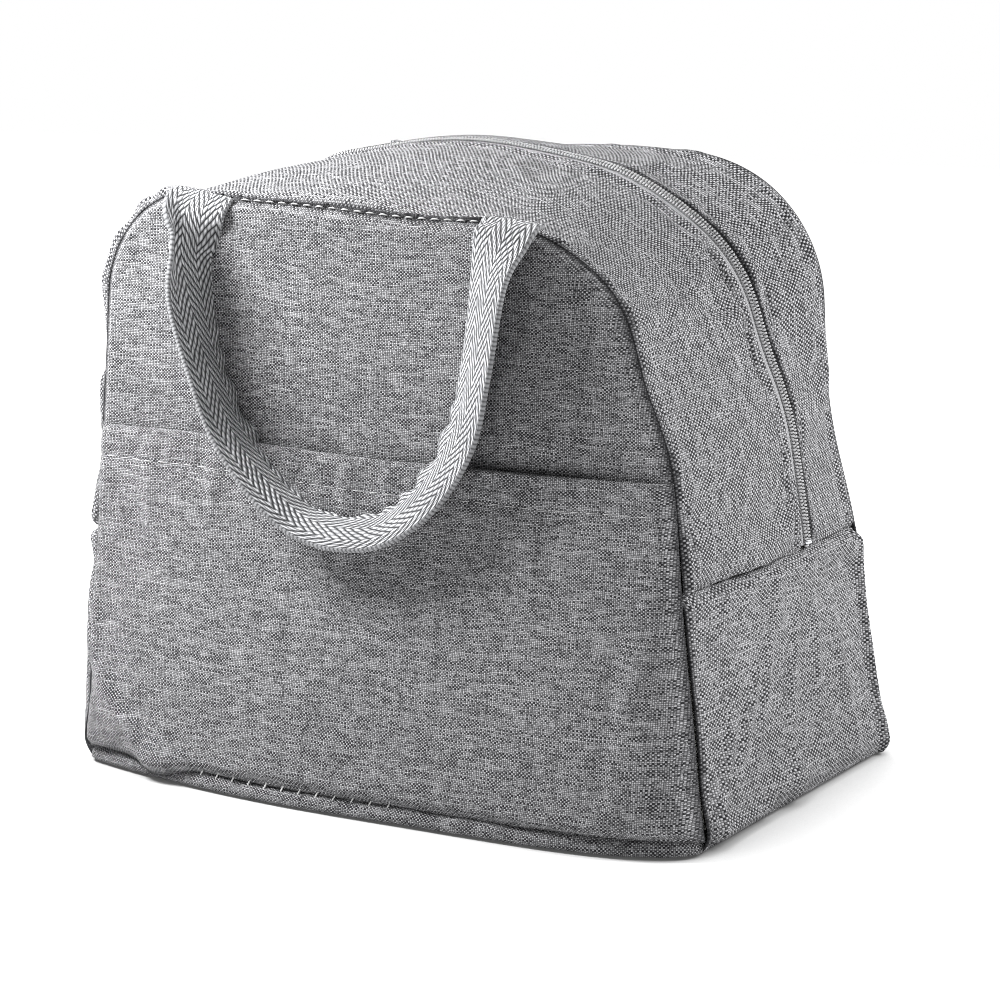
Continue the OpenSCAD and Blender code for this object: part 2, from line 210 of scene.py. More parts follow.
def rear_tuck(x):
    return REAR_TUCK * bell((x + 55 * MM) / (42 * MM))


def tuck(x, z, amount):
    """Draws points of the shoulders and top in towards the middle of the bag."""
    amount = amount * smooth((z - 125 * MM) / (60 * MM)) / np.hypot(x, z - TUCK_Z)
    return x * (1 - amount), z - (z - TUCK_Z) * amount


def wrap(side, f, v):
    """A point of the band that runs round the bag, v from -1 at the front seam to 1 at the rear seam."""
    f, v = np.broadcast_arrays(np.asarray(f, float), np.asarray(v, float))
    front, middle, rear = FACE[-1][side].point(f), ZIP[side].point(f), FACE[1][side].point(f)
    # Weights of a curve that passes through the front, the zip and the rear.
    wf = (v - ZIP_V) * (v - 1) / ((-1 - ZIP_V) * -2)
    wm = (v + 1) * (v - 1) / ((ZIP_V + 1) * (ZIP_V - 1))
    wr = (v + 1) * (v - ZIP_V) / (2 * (1 - ZIP_V))
    x = wf * front[0] + wm * middle[0] + wr * rear[0]
    z = wf * front[1] + wm * middle[1] + wr * rear[1]
    strip = np.clip((v + 1) / (ZIP_V + 1), 0, 1)
    pillow = LEFT_PILLOW * np.sin(math.pi * strip) ** 0.8 * smooth((-10 * MM - x) / (80 * MM))
    x, z = tuck(x, z, rear_tuck(x) * smooth((v - 0.72) / 0.28) - pillow)
    return np.stack([x, v * half_depth(z), z], -1)


def left_rise(x, z):
    return LEFT_RISE * z / SEAM_Z * smooth((20 * MM - x) / (110 * MM))


SETTLE_NOISE = [Noise(seed, 75 * MM) for seed in (3, 4, 5)]


def settle(points):
    """The soft bag's own lean and unevenness, the same for every layer, so that seams stay joined."""
    p = np.array(points, float)
    x, z = p[..., 0].copy(), p[..., 2].copy()
    p[..., 2] += LIFT * smooth(z / (60 * MM)) + left_rise(x, z)
    wobble = 0.7 * MM * smooth(z / (40 * MM)) * smooth((x + 105 * MM) / (30 * MM))
    for axis, noise in enumerate(SETTLE_NOISE):
        p[..., axis] += wobble * noise(points)
    return p


def belly(x, z):
    """Forward bulge of the front: it rises slowly from the left corner and stays full up to the right."""
    share = np.abs(x / HALF_W)
    across = 1 - np.where(x < 0, share ** 2.2, share ** 6)
    return BELLY * np.clip(across, 0, 1) * np.clip(1 - z / BELLY_TOP, 0, 1) ** 1.5


def edge_distance(x, z, left, right, top):
    return np.minimum(np.minimum(x - left, right - x), top - z)


def seam_roll(distance):
    """Cloth rolled over the seam allowance: a ridge close to the seam and a slight groove behind it."""
    ridge = 2.1 * MM * bell((distance - 2.7 * MM) / (1.7 * MM))
    return ridge - 0.7 * MM * bell((distance - 7.5 * MM) / (2 * MM))


def left_roll(distance):
    return LEFT_ROLL * bell((distance - 3.4 * MM) / (2.2 * MM))


# -------------------------------- meshes

def grid_faces(nu, nv, flip=False):
    i, j = np.meshgrid(np.arange(nu - 1), np.arange(nv - 1), indexing="ij")
    a = (i * nv + j).ravel()
    quads = np.stack([a, a + nv, a + nv + 1, a + 1], 1)
    return quads[:, ::-1] if flip else quads


def grid_normals(points, flip=False):
    n = unit(np.cross(np.gradient(points, axis=0), np.gradient(points, axis=1)))
    return -n if flip else n


def new_mesh(name, points, faces, uv=None, material=None, shade=None):
    """A smooth mesh object. uv is in metres; shade (0 to 1) darkens cloth as painted shade in seam folds."""
    mesh = bpy.data.meshes.new(name)
    mesh.from_pydata(points.reshape(-1, 3).tolist(), [], faces)
    if uv is not None:
        layer = mesh.uv_layers.new(name="Cloth")
        loops = np.zeros(len(mesh.loops), np.int32)
        mesh.loops.foreach_get("vertex_index", loops)
        layer.data.foreach_set("uv", uv.reshape(-1, 2)[loops].astype(np.float32).ravel())
    mesh.polygons.foreach_set("use_smooth", np.ones(len(mesh.polygons), bool))
    if shade is not None:
        mesh.attributes.new("seam", "FLOAT", "POINT").data.foreach_set("value", shade.astype(np.float32))
    if material:
        mesh.materials.append(material)
    mesh.update()
    piece = bpy.data.objects.new(name, mesh)
    bpy.context.scene.collection.objects.link(piece)
    return piece


def sheet(name, points, uv, material, thickness, flip=False, shade=None):
    """A closed sheet: the grid, a copy of it set in by the thickness, and a rim between the two."""
    nu, nv = points.shape[:2]
    inner = points - grid_normals(points, flip) * thickness
    count = nu * nv
    ring = np.concatenate([
        np.arange(nv - 1), np.arange(nu - 1) * nv + nv - 1,
        (nu - 1) * nv + np.arange(nv - 1, 0, -1), np.arange(nu - 1, 0, -1) * nv])
    after = np.roll(ring, -1)
    rim = np.stack([ring, after, after + count, ring + count], 1)
    if flip:
        rim = rim[:, ::-1]
    faces = np.concatenate([grid_faces(nu, nv, flip), grid_faces(nu, nv, not flip) + count, rim]).tolist()
    if shade is not None:
        shade = np.tile(np.broadcast_to(shade, (nu, nv)).ravel(), 2)
    return new_mesh(name, np.concatenate([points, inner]), faces, np.concatenate([uv, uv]), material, shade)


def tube_faces(count, rings, sides):
    """Faces of many open tubes, each a row of rings."""
    base = np.arange(count)[:, None, None] * rings * sides
    k, m = np.arange(rings - 1)[None, :, None], np.arange(sides)[None, None]
    a0 = base + k * sides + m
    a1 = base + k * sides + (m + 1) % sides
    return np.stack(np.broadcast_arrays(a0, a1, a1 + sides, a0 + sides), -1).reshape(-1, 4)


def tubes(name, rings, material):
    """One mesh of many short tubes, each given as a list of rings, with closed ends."""
    points = np.stack(rings)
    count, lengthwise, sides = points.shape[:3]
    faces = tube_faces(count, lengthwise, sides).tolist()
    for start in np.arange(count) * lengthwise * sides:
        end = start + (lengthwise - 1) * sides
        faces.append(list(range(start, start + sides))[::-1])
        faces.append(list(range(end, end + sides)))
    return new_mesh(name, points, faces, None, material)


def spaced(length, step, dense, reach=9 * MM, both=True):
    """Distances from 0 to length, closer together near the start, and near the end if both is on."""
    t = np.linspace(0, length, max(8, round(length / step)))
    close = np.arange(0, reach, dense)
    values = np.concatenate([close, t[t > reach]])
    if both:
        values = np.concatenate([values[values < length - reach], length - close[::-1]])
    return values


def resample(field, nu, nv):
    """A coarse grid of values read at nu by nv points, smoothly."""
    def read(values, n):
        m = len(values)
        t = np.linspace(0, m - 1, n)
        k = np.clip(t.astype(int), 0, m - 2)
        s = (t - k).reshape(-1, *[1] * (values.ndim - 1))
        before, after = np.clip(k - 1, 0, m - 1), np.clip(k + 2, 0, m - 1)
        return spline(values[before], values[k], values[k + 1], values[after], s)
    return np.swapaxes(read(np.swapaxes(read(field, nu), 0, 1), nv), 0, 1)


def read_grid(field, rows, columns):
    """A coarse field read smoothly at uneven rows and columns, both given from 0 to 1."""
    size = 240
    even = np.linspace(0, 1, size)
    fine = resample(field, size, size)
    fine = np.stack([np.interp(rows, even, fine[:, k, c]) for k in range(size) for c in range(3)])
    fine = fine.reshape(size, 3, len(rows)).transpose(2, 0, 1)
    wide = np.stack([np.interp(columns, even, fine[k, :, c]) for k in range(len(rows)) for c in range(3)])
    return wide.reshape(len(rows), 3, len(columns)).transpose(0, 2, 1)


CLOTH_SETTINGS = {
    "quality": 6, "mass": 0.25, "tension_stiffness": 25, "compression_stiffness": 25, "shear_stiffness": 8,
    "air_damping": 2, "vertex_group_mass": "held", "use_pressure": True, "uniform_pressure_force": 0.25,
}
DRAPE_FRAMES = 22


def drape(points, slack, limit, flip, seed, stiffness=0.6):
    """Cloth simulation of a panel held at its borders: how far each point moves, up to the limit."""
    nu, nv = points.shape[:2]
    normals = grid_normals(points, flip)
    border = np.ones((nu, nv), bool)
    border[1:-1, 1:-1] = False
    ripple = 0.8 * MM * Noise(seed, 45 * MM)(points) * ~border
    panel = new_mesh("panel", points + normals * ripple[..., None], grid_faces(nu, nv, flip).tolist())
    panel.vertex_groups.new(name="held").add(np.flatnonzero(border).tolist(), 1.0, "REPLACE")
    cloth = panel.modifiers.new("cloth", "CLOTH")
    for setting, value in CLOTH_SETTINGS.items():
        setattr(cloth.settings, setting, value)
    cloth.settings.bending_stiffness = stiffness
    cloth.settings.shrink_min = -slack
    cloth.settings.effector_weights.gravity = 0.25
    cloth.point_cache.frame_start = 1
    cloth.point_cache.frame_end = DRAPE_FRAMES
    scene = bpy.context.scene
    for number in range(1, DRAPE_FRAMES + 1):
        scene.frame_set(number)
    evaluated = panel.evaluated_get(bpy.context.evaluated_depsgraph_get())
    moved = np.zeros(nu * nv * 3, np.float32)
    evaluated.data.vertices.foreach_get("co", moved)
    bpy.data.objects.remove(panel)
    scene.frame_set(1)
    shift = moved.reshape(nu, nv, 3).astype(float) - points
    size = np.linalg.norm(shift, axis=-1, keepdims=True) + 1e-9
    shift *= limit * np.tanh(size / limit) / size
    inward = np.minimum((shift * normals).sum(-1, keepdims=True), 0)
    return shift - normals * (inward + np.minimum(-inward, 1.0 * MM))


# -------------------------------- materials

PAINTED_SEAM_SHADE = 0.85      # painted shade: how much the cloth's colour is darkened in the fold of a seam


class Graph:
    """A material's node graph, written as arithmetic."""

    def __init__(self, name):
        self.material = bpy.data.materials.new(name)
        self.material.use_nodes = True
        self.nodes = self.material.node_tree.nodes
        self.links = self.material.node_tree.links
        self.shader = self.nodes["Principled BSDF"]

    def put(self, socket, value):
        if hasattr(value, "links"):
            self.links.new(value, socket)
        else:
            socket.default_value = value

    def node(self, kind, inputs, output=0, **settings):
        """Adds a node with its settings and with a value or a link for each input. Returns one output."""
        node = self.nodes.new("ShaderNode" + kind)
        for setting, value in settings.items():
            setattr(node, setting, value)
        for key, value in inputs.items():
            self.put(node.inputs[key], value)
        return node.outputs[output]

    def math(self, operation, a, b=0.0, clamp=False):
        return self.node("Math", {0: a, 1: b}, operation=operation, use_clamp=clamp)

    def add(self, a, b):
        return self.math("ADD", a, b)

    def sub(self, a, b):
        return self.math("SUBTRACT", a, b)

    def mul(self, a, b):
        return self.math("MULTIPLY", a, b)

    def wave(self, value, pitch):
        """Height of rounded ribs that follow each other at a pitch."""
        return self.math("ABSOLUTE", self.math("SINE", self.mul(self.math("DIVIDE", value, pitch), math.pi)))

    def about(self, value, amount):
        """A value from 0 to 1 turned into one around zero."""
        return self.mul(self.sub(value, 0.5), amount)

    def vector(self, x, y, z):
        return self.node("CombineXYZ", {0: x, 1: y, 2: z})

    def uv(self):
        split = self.node("SeparateXYZ", {0: self.node("UVMap", {}, uv_map="Cloth")}).node
        return split.outputs[0], split.outputs[1]

    def attribute(self, name):
        return self.node("Attribute", {}, "Fac", attribute_name=name)

    def place(self):
        return self.node("TexCoord", {}, "Object")

    def noise(self, vector, scale, detail, roughness=0.5):
        inputs = {"Vector": vector, "Scale": scale, "Detail": detail, "Roughness": roughness}
        return self.node("TexNoise", inputs)

    def cells(self, vector, scale, feature):
        return self.node("TexVoronoi", {"Vector": vector, "Scale": scale}, feature=feature)

    def white(self, vector):
        return self.node("TexWhiteNoise", {"Vector": vector})

    def spread(self, value, low, high, to_low=0.0, to_high=1.0):
        return self.node("MapRange", {0: value, 1: low, 2: high, 3: to_low, 4: to_high})

    def colour(self, share, dark, light):
        return self.node("Mix", {0: share, 6: (*dark, 1), 7: (*light, 1)}, 2, data_type="RGBA")

    def bump(self, height, strength, distance):
        normal = self.node("Bump", {"Strength": strength, "Distance": distance, "Height": height})
        self.put(self.shader.inputs["Normal"], normal)

    def finish(self, colour, roughness, sheen=0.0, metallic=0.0):
        values = {"Base Color": colour, "Roughness": roughness, "Metallic": metallic, "Sheen Weight": sheen,
                  "Specular IOR Level": 0.25}
        for name, value in values.items():
            self.put(self.shader.inputs[name], value)
        return self.material


def melange_cloth(name, light, dark, gap_shade, speckle, warp_pitch, weft_pitch):
    """Plain weave of a light warp and a dark weft in heather yarns: each thread's tone drifts along it."""
    g = Graph(name)
    u, v = g.uv()
    plane = g.vector(u, v, 0)
    u = g.add(u, g.about(g.noise(plane, 30, 2), 2.4 * MM))
    v = g.add(v, g.about(g.noise(g.vector(u, v, 7), 26, 2), 2.4 * MM))
    uneven = g.about(g.noise(plane, 380, 1), 0.45 * MM)
    u, v = g.add(u, uneven), g.sub(v, uneven)
    ui, vi = g.math("DIVIDE", u, warp_pitch), g.math("DIVIDE", v, weft_pitch)
    i, j = g.math("FLOOR", ui), g.math("FLOOR", vi)
    over = g.math("PINGPONG", g.add(i, j), 1.0)

    def thread(index, lengthwise, length, seed, swing):
        own = g.white(g.vector(index, seed, 0))
        drift = g.vector(g.mul(index, 3.7), g.math("DIVIDE", lengthwise, length), seed)
        return g.add(g.about(own, 0.20), g.about(g.noise(drift, 1.0, 2, 0.6), swing))

    def rounded(crossing):
        return g.math("POWER", g.math("SINE", g.mul(g.math("FRACT", crossing), math.pi)), 0.8)

    warp = g.add(thread(i, v, 5 * MM, 2.0, 1.5), light)
    weft = g.add(thread(j, u, 8 * MM, 5.0, 2.8), dark)
    slub = g.spread(g.noise(g.vector(g.math("DIVIDE", u, 16 * MM), g.mul(j, 2.9), 31), 1.0, 1), 0.63, 0.75)
    weft = g.add(weft, g.mul(slub, 0.6))
    tone = g.add(weft, g.mul(over, g.sub(warp, weft)))
    height = g.mul(rounded(ui), rounded(vi))
    drawn = g.vector(g.math("DIVIDE", u, 15 * MM), g.math("DIVIDE", v, 3.2 * MM), 9)
    fade = g.spread(g.noise(drawn, 1.0, 4, 0.7), 0.3, 0.7, -0.13, 0.13)
    speck = g.about(g.white(g.vector(i, j, 4)), speckle)
    tone = g.math("ADD", tone, g.add(fade, speck), clamp=True)
    # painted shade: the colour darkens in the gaps between threads, following the weave's relief
    share = g.mul(tone, g.spread(height, 0, 0.9, *gap_shade))
    # painted shade: the colour darkens where the mesh's seam attribute marks the fold of a seam
    share = g.mul(share, g.sub(1.0, g.mul(g.attribute("seam"), PAINTED_SEAM_SHADE)))
    g.bump(height, 0.7, 0.25 * MM)
    return g.finish(g.colour(share, (0.010, 0.010, 0.012), (0.44, 0.44, 0.453)), 0.88, sheen=0.05)


def herringbone_webbing(name):
    """Twill webbing whose ribs turn back at every column, with plain selvedges. U runs across, V along."""
    g = Graph(name)
    u, v = g.uv()
    u = g.add(u, g.about(g.noise(g.vector(u, v, 2), 120, 1), 0.7 * MM))
    column = g.math("PINGPONG", g.add(u, 0.2), 6.0 * MM)
    rib = g.math("DIVIDE", g.add(v, g.mul(column, 1.7)), 3.6 * MM)
    rib = g.add(rib, g.about(g.noise(g.vector(u, v, 0), 200, 1), 0.5))
    part = g.math("FRACT", rib)
    ridge = g.math("SINE", g.mul(part, math.pi))
    bead = g.wave(g.sub(u, g.mul(part, 0.6 * MM)), 1.3 * MM)
    height = g.mul(g.math("POWER", ridge, 1.3), g.spread(bead, 0, 0.85, 0.25, 1.0))
    edge = g.spread(g.math("ABSOLUTE", u), 11.2 * MM, 11.6 * MM)
    knot = g.spread(g.wave(v, 1.5 * MM), 0, 1, 0.12, 0.42)
    height = g.add(g.mul(height, g.sub(1.0, edge)), g.mul(edge, knot))
    own = g.white(g.vector(g.math("FLOOR", rib), 3, 0))
    # the herringbone pattern is the webbing's own; its near-black grooves between the ribs are painted shade
    share = g.mul(g.spread(height, 0.05, 0.95, 0.0, 1.0), g.spread(own, 0, 1, 0.8, 1.0))
    grime = g.spread(g.noise(g.vector(u, v, 0), 90, 3), 0.3, 0.7, 0.82, 1.0)
    g.bump(height, 1.0, 0.6 * MM)
    colour = g.colour(g.mul(share, grime), (0.015, 0.016, 0.018), (0.64, 0.645, 0.667))
    return g.finish(colour, 0.75, sheen=0.1)


def ribbed_tape(name, dark, light, pitch):
    g = Graph(name)
    u, v = g.uv()
    ribs = g.spread(g.wave(u, pitch), 0, 1, 0.4, 1.0)
    height = g.mul(ribs, g.spread(g.wave(v, pitch * 0.8), 0, 1, 0.6, 1.0))
    mottle = g.spread(g.noise(g.vector(u, v, 0), 900, 2), 0.3, 0.7, 0.85, 1.0)
    g.bump(height, 0.6, 0.2 * MM)
    # painted shade: the colour follows the rib height, darker between the ribs
    return g.finish(g.colour(g.mul(height, mottle), dark, light), 0.8, sheen=0.1)


def spun_thread(name, dark, light):
    g = Graph(name)
    strands = g.noise(g.place(), 2600, 2)
    g.bump(strands, 0.4, 0.1 * MM)
    return g.finish(g.colour(strands, dark, light), 0.7, sheen=0.2)


def nylon_coil(name):
    g = Graph(name)
    mottle = g.noise(g.place(), 700, 2)
    g.bump(mottle, 0.15, 0.05 * MM)
    return g.finish(g.colour(mottle, (0.30, 0.30, 0.305), (0.48, 0.48, 0.49)), 0.42)


def creased_foil(name):
    g = Graph(name)
    plane = g.vector(*g.uv(), 0)
    fold = g.spread(g.cells(plane, 95, "DISTANCE_TO_EDGE"), 0, 0.16)
    fine = g.noise(plane, 420, 4, 0.65)
    g.bump(g.add(g.mul(fold, 0.5), g.mul(fine, 0.5)), 0.35, 0.5 * MM)
    colour = g.colour(fine, (0.55, 0.56, 0.58), (0.80, 0.81, 0.83))
    return g.finish(colour, g.spread(fine, 0, 1, 0.2, 0.42), metallic=0.9)


def foam_sheet(name):
    g = Graph(name)
    cells = g.cells(g.place(), 900, "F1")
    g.bump(cells, 0.4, 0.3 * MM)
    return g.finish(g.colour(cells, (0.80, 0.80, 0.76), (0.90, 0.90, 0.87)), 0.7)


def plated_metal(name):
    g = Graph(name)
    scratches = g.noise(g.place(), 900, 4, 0.7)
    worn = g.noise(g.place(), 220, 2)
    g.bump(scratches, 0.08, 0.05 * MM)
    colour = g.colour(worn, (0.42, 0.43, 0.45), (0.66, 0.67, 0.69))
    return g.finish(colour, g.spread(scratches, 0.3, 0.7, 0.22, 0.42), metallic=1.0)


# The numbers of a cloth are its light and dark tone, its painted shade in the gaps between threads (the range
# the relief scales its colour over), how much its crossings differ, and the pitch of its warp and weft. Cloth
# seen at a slant has a coarser pitch and more contrast, so that its weave still shows in the picture.
CLOTH = melange_cloth("outer_cloth", 0.76, 0.24, (0.10, 1.10), 0.44, 0.72 * MM, 0.58 * MM)
TOP_CLOTH = melange_cloth("top_cloth", 0.96, 0.10, (0.08, 1.12), 0.60, 0.80 * MM, 1.15 * MM)
SIDE_CLOTH = melange_cloth("side_cloth", 0.94, 0.16, (0.10, 1.10), 0.55, 1.25 * MM, 0.74 * MM)
WEBBING = herringbone_webbing("webbing")
ZIP_TAPE = ribbed_tape("zip_tape", (0.10, 0.10, 0.105), (0.36, 0.36, 0.37), 0.75 * MM)
BINDING = ribbed_tape("binding_tape", (0.05, 0.05, 0.052), (0.22, 0.22, 0.23), 1.1 * MM)
COIL = nylon_coil("zip_coil")
THREAD = spun_thread("thread", (0.42, 0.42, 0.42), (0.78, 0.78, 0.77))
PALE_THREAD = spun_thread("pale_thread", (0.22, 0.22, 0.225), (0.50, 0.50, 0.50))
GREY_THREAD = spun_thread("grey_thread", (0.10, 0.10, 0.105), (0.32, 0.32, 0.33))
DARK_THREAD = spun_thread("dark_thread", (0.02, 0.02, 0.02), (0.07, 0.07, 0.07))
FOIL = creased_foil("foil_lining")
FOAM = foam_sheet("foam")
METAL = plated_metal("zip_metal")


def place(piece, nodes, body=None):
    """Hides the CAD nodes a piece stands for and hangs it on its body. With no body, its transform is baked
    in.
    """
    if nodes:
        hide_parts(*nodes)
    if body:
        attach(piece, body)
    else:
        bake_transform(piece)


# -------------------------------- stitches

STITCH_SIDES = 6
STITCH_RINGS = 6


def capsule(centre, normals, radius):
    """One visible stitch: a tube that arches out of the cloth and dips back in. Returns its rings."""
    arch = np.sin(math.pi * np.linspace(0, 1, len(centre)))[:, None]
    n = unit(normals)
    across = np.cross(unit(np.gradient(centre, axis=0)), n)
    r = radius * (0.45 + 0.55 * arch ** 0.5)
    a = np.linspace(0, 2 * math.pi, STITCH_SIDES, endpoint=False)[None, :, None]
    middle = centre + n * (radius * (1.6 * arch - 0.5))
    return middle[:, None] + r[:, None] * (np.cos(a) * n[:, None] + np.sin(a) * across[:, None])


def stitches(name, line, normals, material, length=2.6 * MM, gap=1.2 * MM, radius=0.28 * MM):
    """A row of stitches laid along a line."""
    rings = []
    for start in np.arange(gap, distance_along(line)[-1] - length, length + gap):
        q = start + length * np.linspace(0, 1, STITCH_RINGS)
        rings.append(capsule(read_line(line, line, q), read_line(line, normals, q), radius))
    return tubes(name, rings, material)


# -------------------------------- outer cloth: the strips over the top

# A number added to a piece's UVs only moves its weave, so that no two pieces show the same threads.

FINE = 1.5 * MM
COARSE = 5 * MM


def band_shares(step=FINE):
    """Shares along a strip over the top: the left half up from the fold, and the right half down to it."""
    distances = (spaced(half.length, step, 0.6 * MM, 7 * MM, False) / half.length for half in ZIP.values())
    left, right = (FOLD_SHARE + (1 - FOLD_SHARE) * high for high in distances)
    return left, right[-2::-1]


def band_points(f_left, f_right, v):
    return np.concatenate([wrap(-1, f_left[:, None], v[None]), wrap(1, f_right[:, None], v[None])])


def band_distance(f_left, f_right):
    """Distance along a strip from the middle of the top, less than zero at the left."""
    return np.concatenate([(f_left - 1) * ZIP[-1].length, (1 - f_right) * ZIP[1].length]) / (1 - FOLD_SHARE)


def band_uv(f_left, f_right, v):
    return pairs(band_distance(f_left, f_right)[:, None], (v * REACH)[None])


def gusset(sign):
    """One strip of the top, from its face seam to its folded and stitched edge beside the zip."""
    flip = sign > 0
    v_edge = ZIP_V + sign * ZIP_GAP / REACH
    width = abs(v_edge - sign) * REACH
    d = spaced(width, FINE, 0.8 * MM)
    f_left, f_right = band_shares()
    points = band_points(f_left, f_right, sign + (v_edge - sign) * d / width)

    total = ZIP[-1].length + ZIP[1].length
    count = round(total / COARSE)
    left = round(count * ZIP[-1].length / total)
    coarse = band_points(np.linspace(FOLD_SHARE, 1, left), np.linspace(1, FOLD_SHARE, count - left + 1)[1:],
                         np.linspace(sign, v_edge, max(6, round(width / COARSE))))
    shift = drape(coarse, 0.012, 3.5 * MM, flip, 12 if flip else 11)
    points = points + resample(shift, *points.shape[:2])

    roll = seam_roll(d)[None] * (0.75 + 0.35 * Noise(21, 50 * MM)(points)) * (0.3 if flip else 1)
    if not flip:
        roll = roll + left_roll(d)[None] * smooth((-70 * MM - points[..., 0]) / (40 * MM))
    edge = width - d
    hem = 0.5 * MM * bell((edge - 2 * MM) / (2.5 * MM)) - 0.4 * MM * bell((edge - STITCH_IN) / (0.9 * MM))
    curl = -0.9 * MM * np.clip(1 - edge / (1.2 * MM), 0, 1) ** 1.5
    left_foot, right_foot = (f_left - FOLD_SHARE) * ZIP[-1].length, (f_right - FOLD_SHARE) * ZIP[1].length
    foot = np.concatenate([left_foot, right_foot])[:, None] / (1 - FOLD_SHARE)
    groove = -3.4 * MM * bell(foot / (1.9 * MM))
    points = settle(points + grid_normals(points, flip) * (roll + hem + curl + groove)[..., None])

    # painted shade: the colour darkens along the face seam and the foot, and on the rear strip along its
    # folded edge
    across = bell(d / (1.3 * MM))
    if flip:
        across = across + bell(edge / (1.4 * MM))
    shade = np.maximum(across[None], bell(foot / (1.2 * MM)))
    uv = pairs(band_distance(f_left, f_right)[:, None], distance_along(points, 1)) + (0.31 if flip else 0)
    name = f"gusset_{WORD[sign]}"
    cloth = sheet(f"{name}_cloth", points, uv, TOP_CLOTH, CLOTH_T, flip, shade)
    place(cloth, [name], BODY[sign])
    row = int(np.argmin(np.abs(edge - STITCH_IN)))
    sewing = stitches(f"{name}_topstitch", points[:, row], grid_normals(points, flip)[:, row], GREY_THREAD)
    place(sewing, [], BODY[sign])


gusset(-1)
gusset(1)

# -------------------------------- outer cloth: front, rear and pocket

FACE_ROWS = 175
FACE_COLUMNS = 190


def face_points(rows, columns, sign, swell, with_belly=False):
    """The front or rear at rows from its foot (0) to its flat top (1). Returns points and edge distances."""
    ends = []
    for half in FACE[sign].values():
        x, z = half.point(rows * half.corner_share)
        ends.append(tuck(x, z, rear_tuck(x)) if sign > 0 else (x, z))
    (xl, zl), (xr, zr) = ends
    x = xl[:, None] + (xr - xl)[:, None] * columns
    z = zl[:, None] + (zr - zl)[:, None] * columns
    top = np.maximum(z.max(0), zr[-1])[None]
    d = np.minimum(edge_distance(x, z, xl[:, None], xr[:, None], top), z - z[0, 0])
    crowned = SEAM_DEPTH * (1 - bell(d / (2.2 * MM))) + swell * smooth(d / (60 * MM))
    y = half_depth(z) + crowned + (belly(x, z) if with_belly else 0)
    return np.stack([x, sign * y, z], -1), d


def face_columns(count, width=2 * HALF_W):
    """Column positions from 0 to 1, closer together at both edges."""
    return spaced(width, width / count, 0.9 * MM) / width


def face_cloth(sign, swell, seed):
    front = sign < 0
    foot = FOLD_SHARE * SEW_Z / FOLD_Z / FACE[sign][1].corner_share
    rows = foot + (1 - foot) * spaced(1, 1 / FACE_ROWS, 0.005, 0.05)
    columns = face_columns(FACE_COLUMNS)
    points, d = face_points(rows, columns, sign, swell, front)
    coarse_rows = foot + (1 - foot) * np.linspace(0, 1, 42)
    coarse, _ = face_points(coarse_rows, np.linspace(0, 1, 52), sign, swell, front)
    shift = drape(coarse, 0.012, 4 * MM, front, seed)
    if front:
        shift *= smooth((coarse[..., 2:] - POCKET_Z + 25 * MM) / (40 * MM))
    return points + read_grid(shift, (rows - foot) / (1 - foot), columns), d


front_points, front_edge = face_cloth(-1, FRONT_SWELL, 31)
behind_pocket = 1 - smooth((front_points[..., 2] - POCKET_Z + 8 * MM) / (30 * MM))
front_points[..., 1] += behind_pocket * 1.2 * MM * smooth(front_edge / (8 * MM))
front_settled = settle(front_points)
# painted shade along the front's seams
front_cloth = sheet("front_cloth", front_settled, front_points[..., [0, 2]], CLOTH, CLOTH_T, True,
                    bell(front_edge / (1.3 * MM)))
place(front_cloth, ["front_panel_lower", "front_panel_upper"])

rear_points, rear_edge = face_cloth(1, REAR_SWELL, 32)
rear_settled = settle(rear_points)
# painted shade along the rear's seams
rear_cloth = sheet("rear_cloth", rear_settled, rear_points[..., [0, 2]] + 0.5, CLOTH, CLOTH_T, False,
                   bell(rear_edge / (1.3 * MM)))
place(rear_cloth, ["rear_panel"], "main_body")


def folded_over(points, uv, axis, inward, turns, rows, uv_step):
    """A sheet and its UVs, with the top edge folded over through some turns and run down behind it."""
    over = np.radians(turns)
    rise = 0.9 * MM * np.sin(over)
    back = inward * (1 - np.cos(over))
    count = len(turns) + rows
    offset = np.zeros((count, 1, 3))
    offset[:, 0, 2] = np.concatenate([rise, rise[-1] - 1.8 * MM * np.arange(1, rows + 1)])
    offset[:, 0, axis] = np.concatenate([back, np.full(rows, back[-1])])
    uv_offset = np.zeros((count, 1, 2))
    uv_offset[:, 0, 1] = uv_step * np.arange(1, count + 1)
    return np.concatenate([points, points[-1] + offset]), np.concatenate([uv, uv[-1] + uv_offset])


def pocket_surface(z, columns):
    """The pocket's sheet at the given heights: as the front panel, and its own depth in front of it."""
    xl, xr = (half.side_x(z)[:, None] for half in FACE[-1].values())
    x = xl + (xr - xl) * columns
    z = np.broadcast_to(z[:, None], x.shape)
    d = np.minimum(np.minimum(x - xl, xr - x), z - SEW_Z)
    crowned = SEAM_DEPTH * (1 - bell(d / (2.4 * MM))) + FRONT_SWELL * smooth(d / (60 * MM))
    room = 0.4 * MM + 1.4 * MM * smooth(d / (7 * MM))
    mouth = smooth((z - 70 * MM) / (POCKET_Z - 70 * MM)) * smooth(d / (30 * MM))
    points = np.stack([x, -half_depth(z) - belly(x, z) - crowned - room, z], -1)
    points[..., 1] -= 0.8 * MM * mouth * (0.5 + 0.5 * Noise(41, 90 * MM)(points))
    sag = bell((x - SAG_X) / (13 * MM)) * bell((z - SEW_Z) / (13 * MM))
    points[..., 1] -= 4.6 * MM * sag
    points[..., 2] -= 3.0 * MM * sag
    return points, d


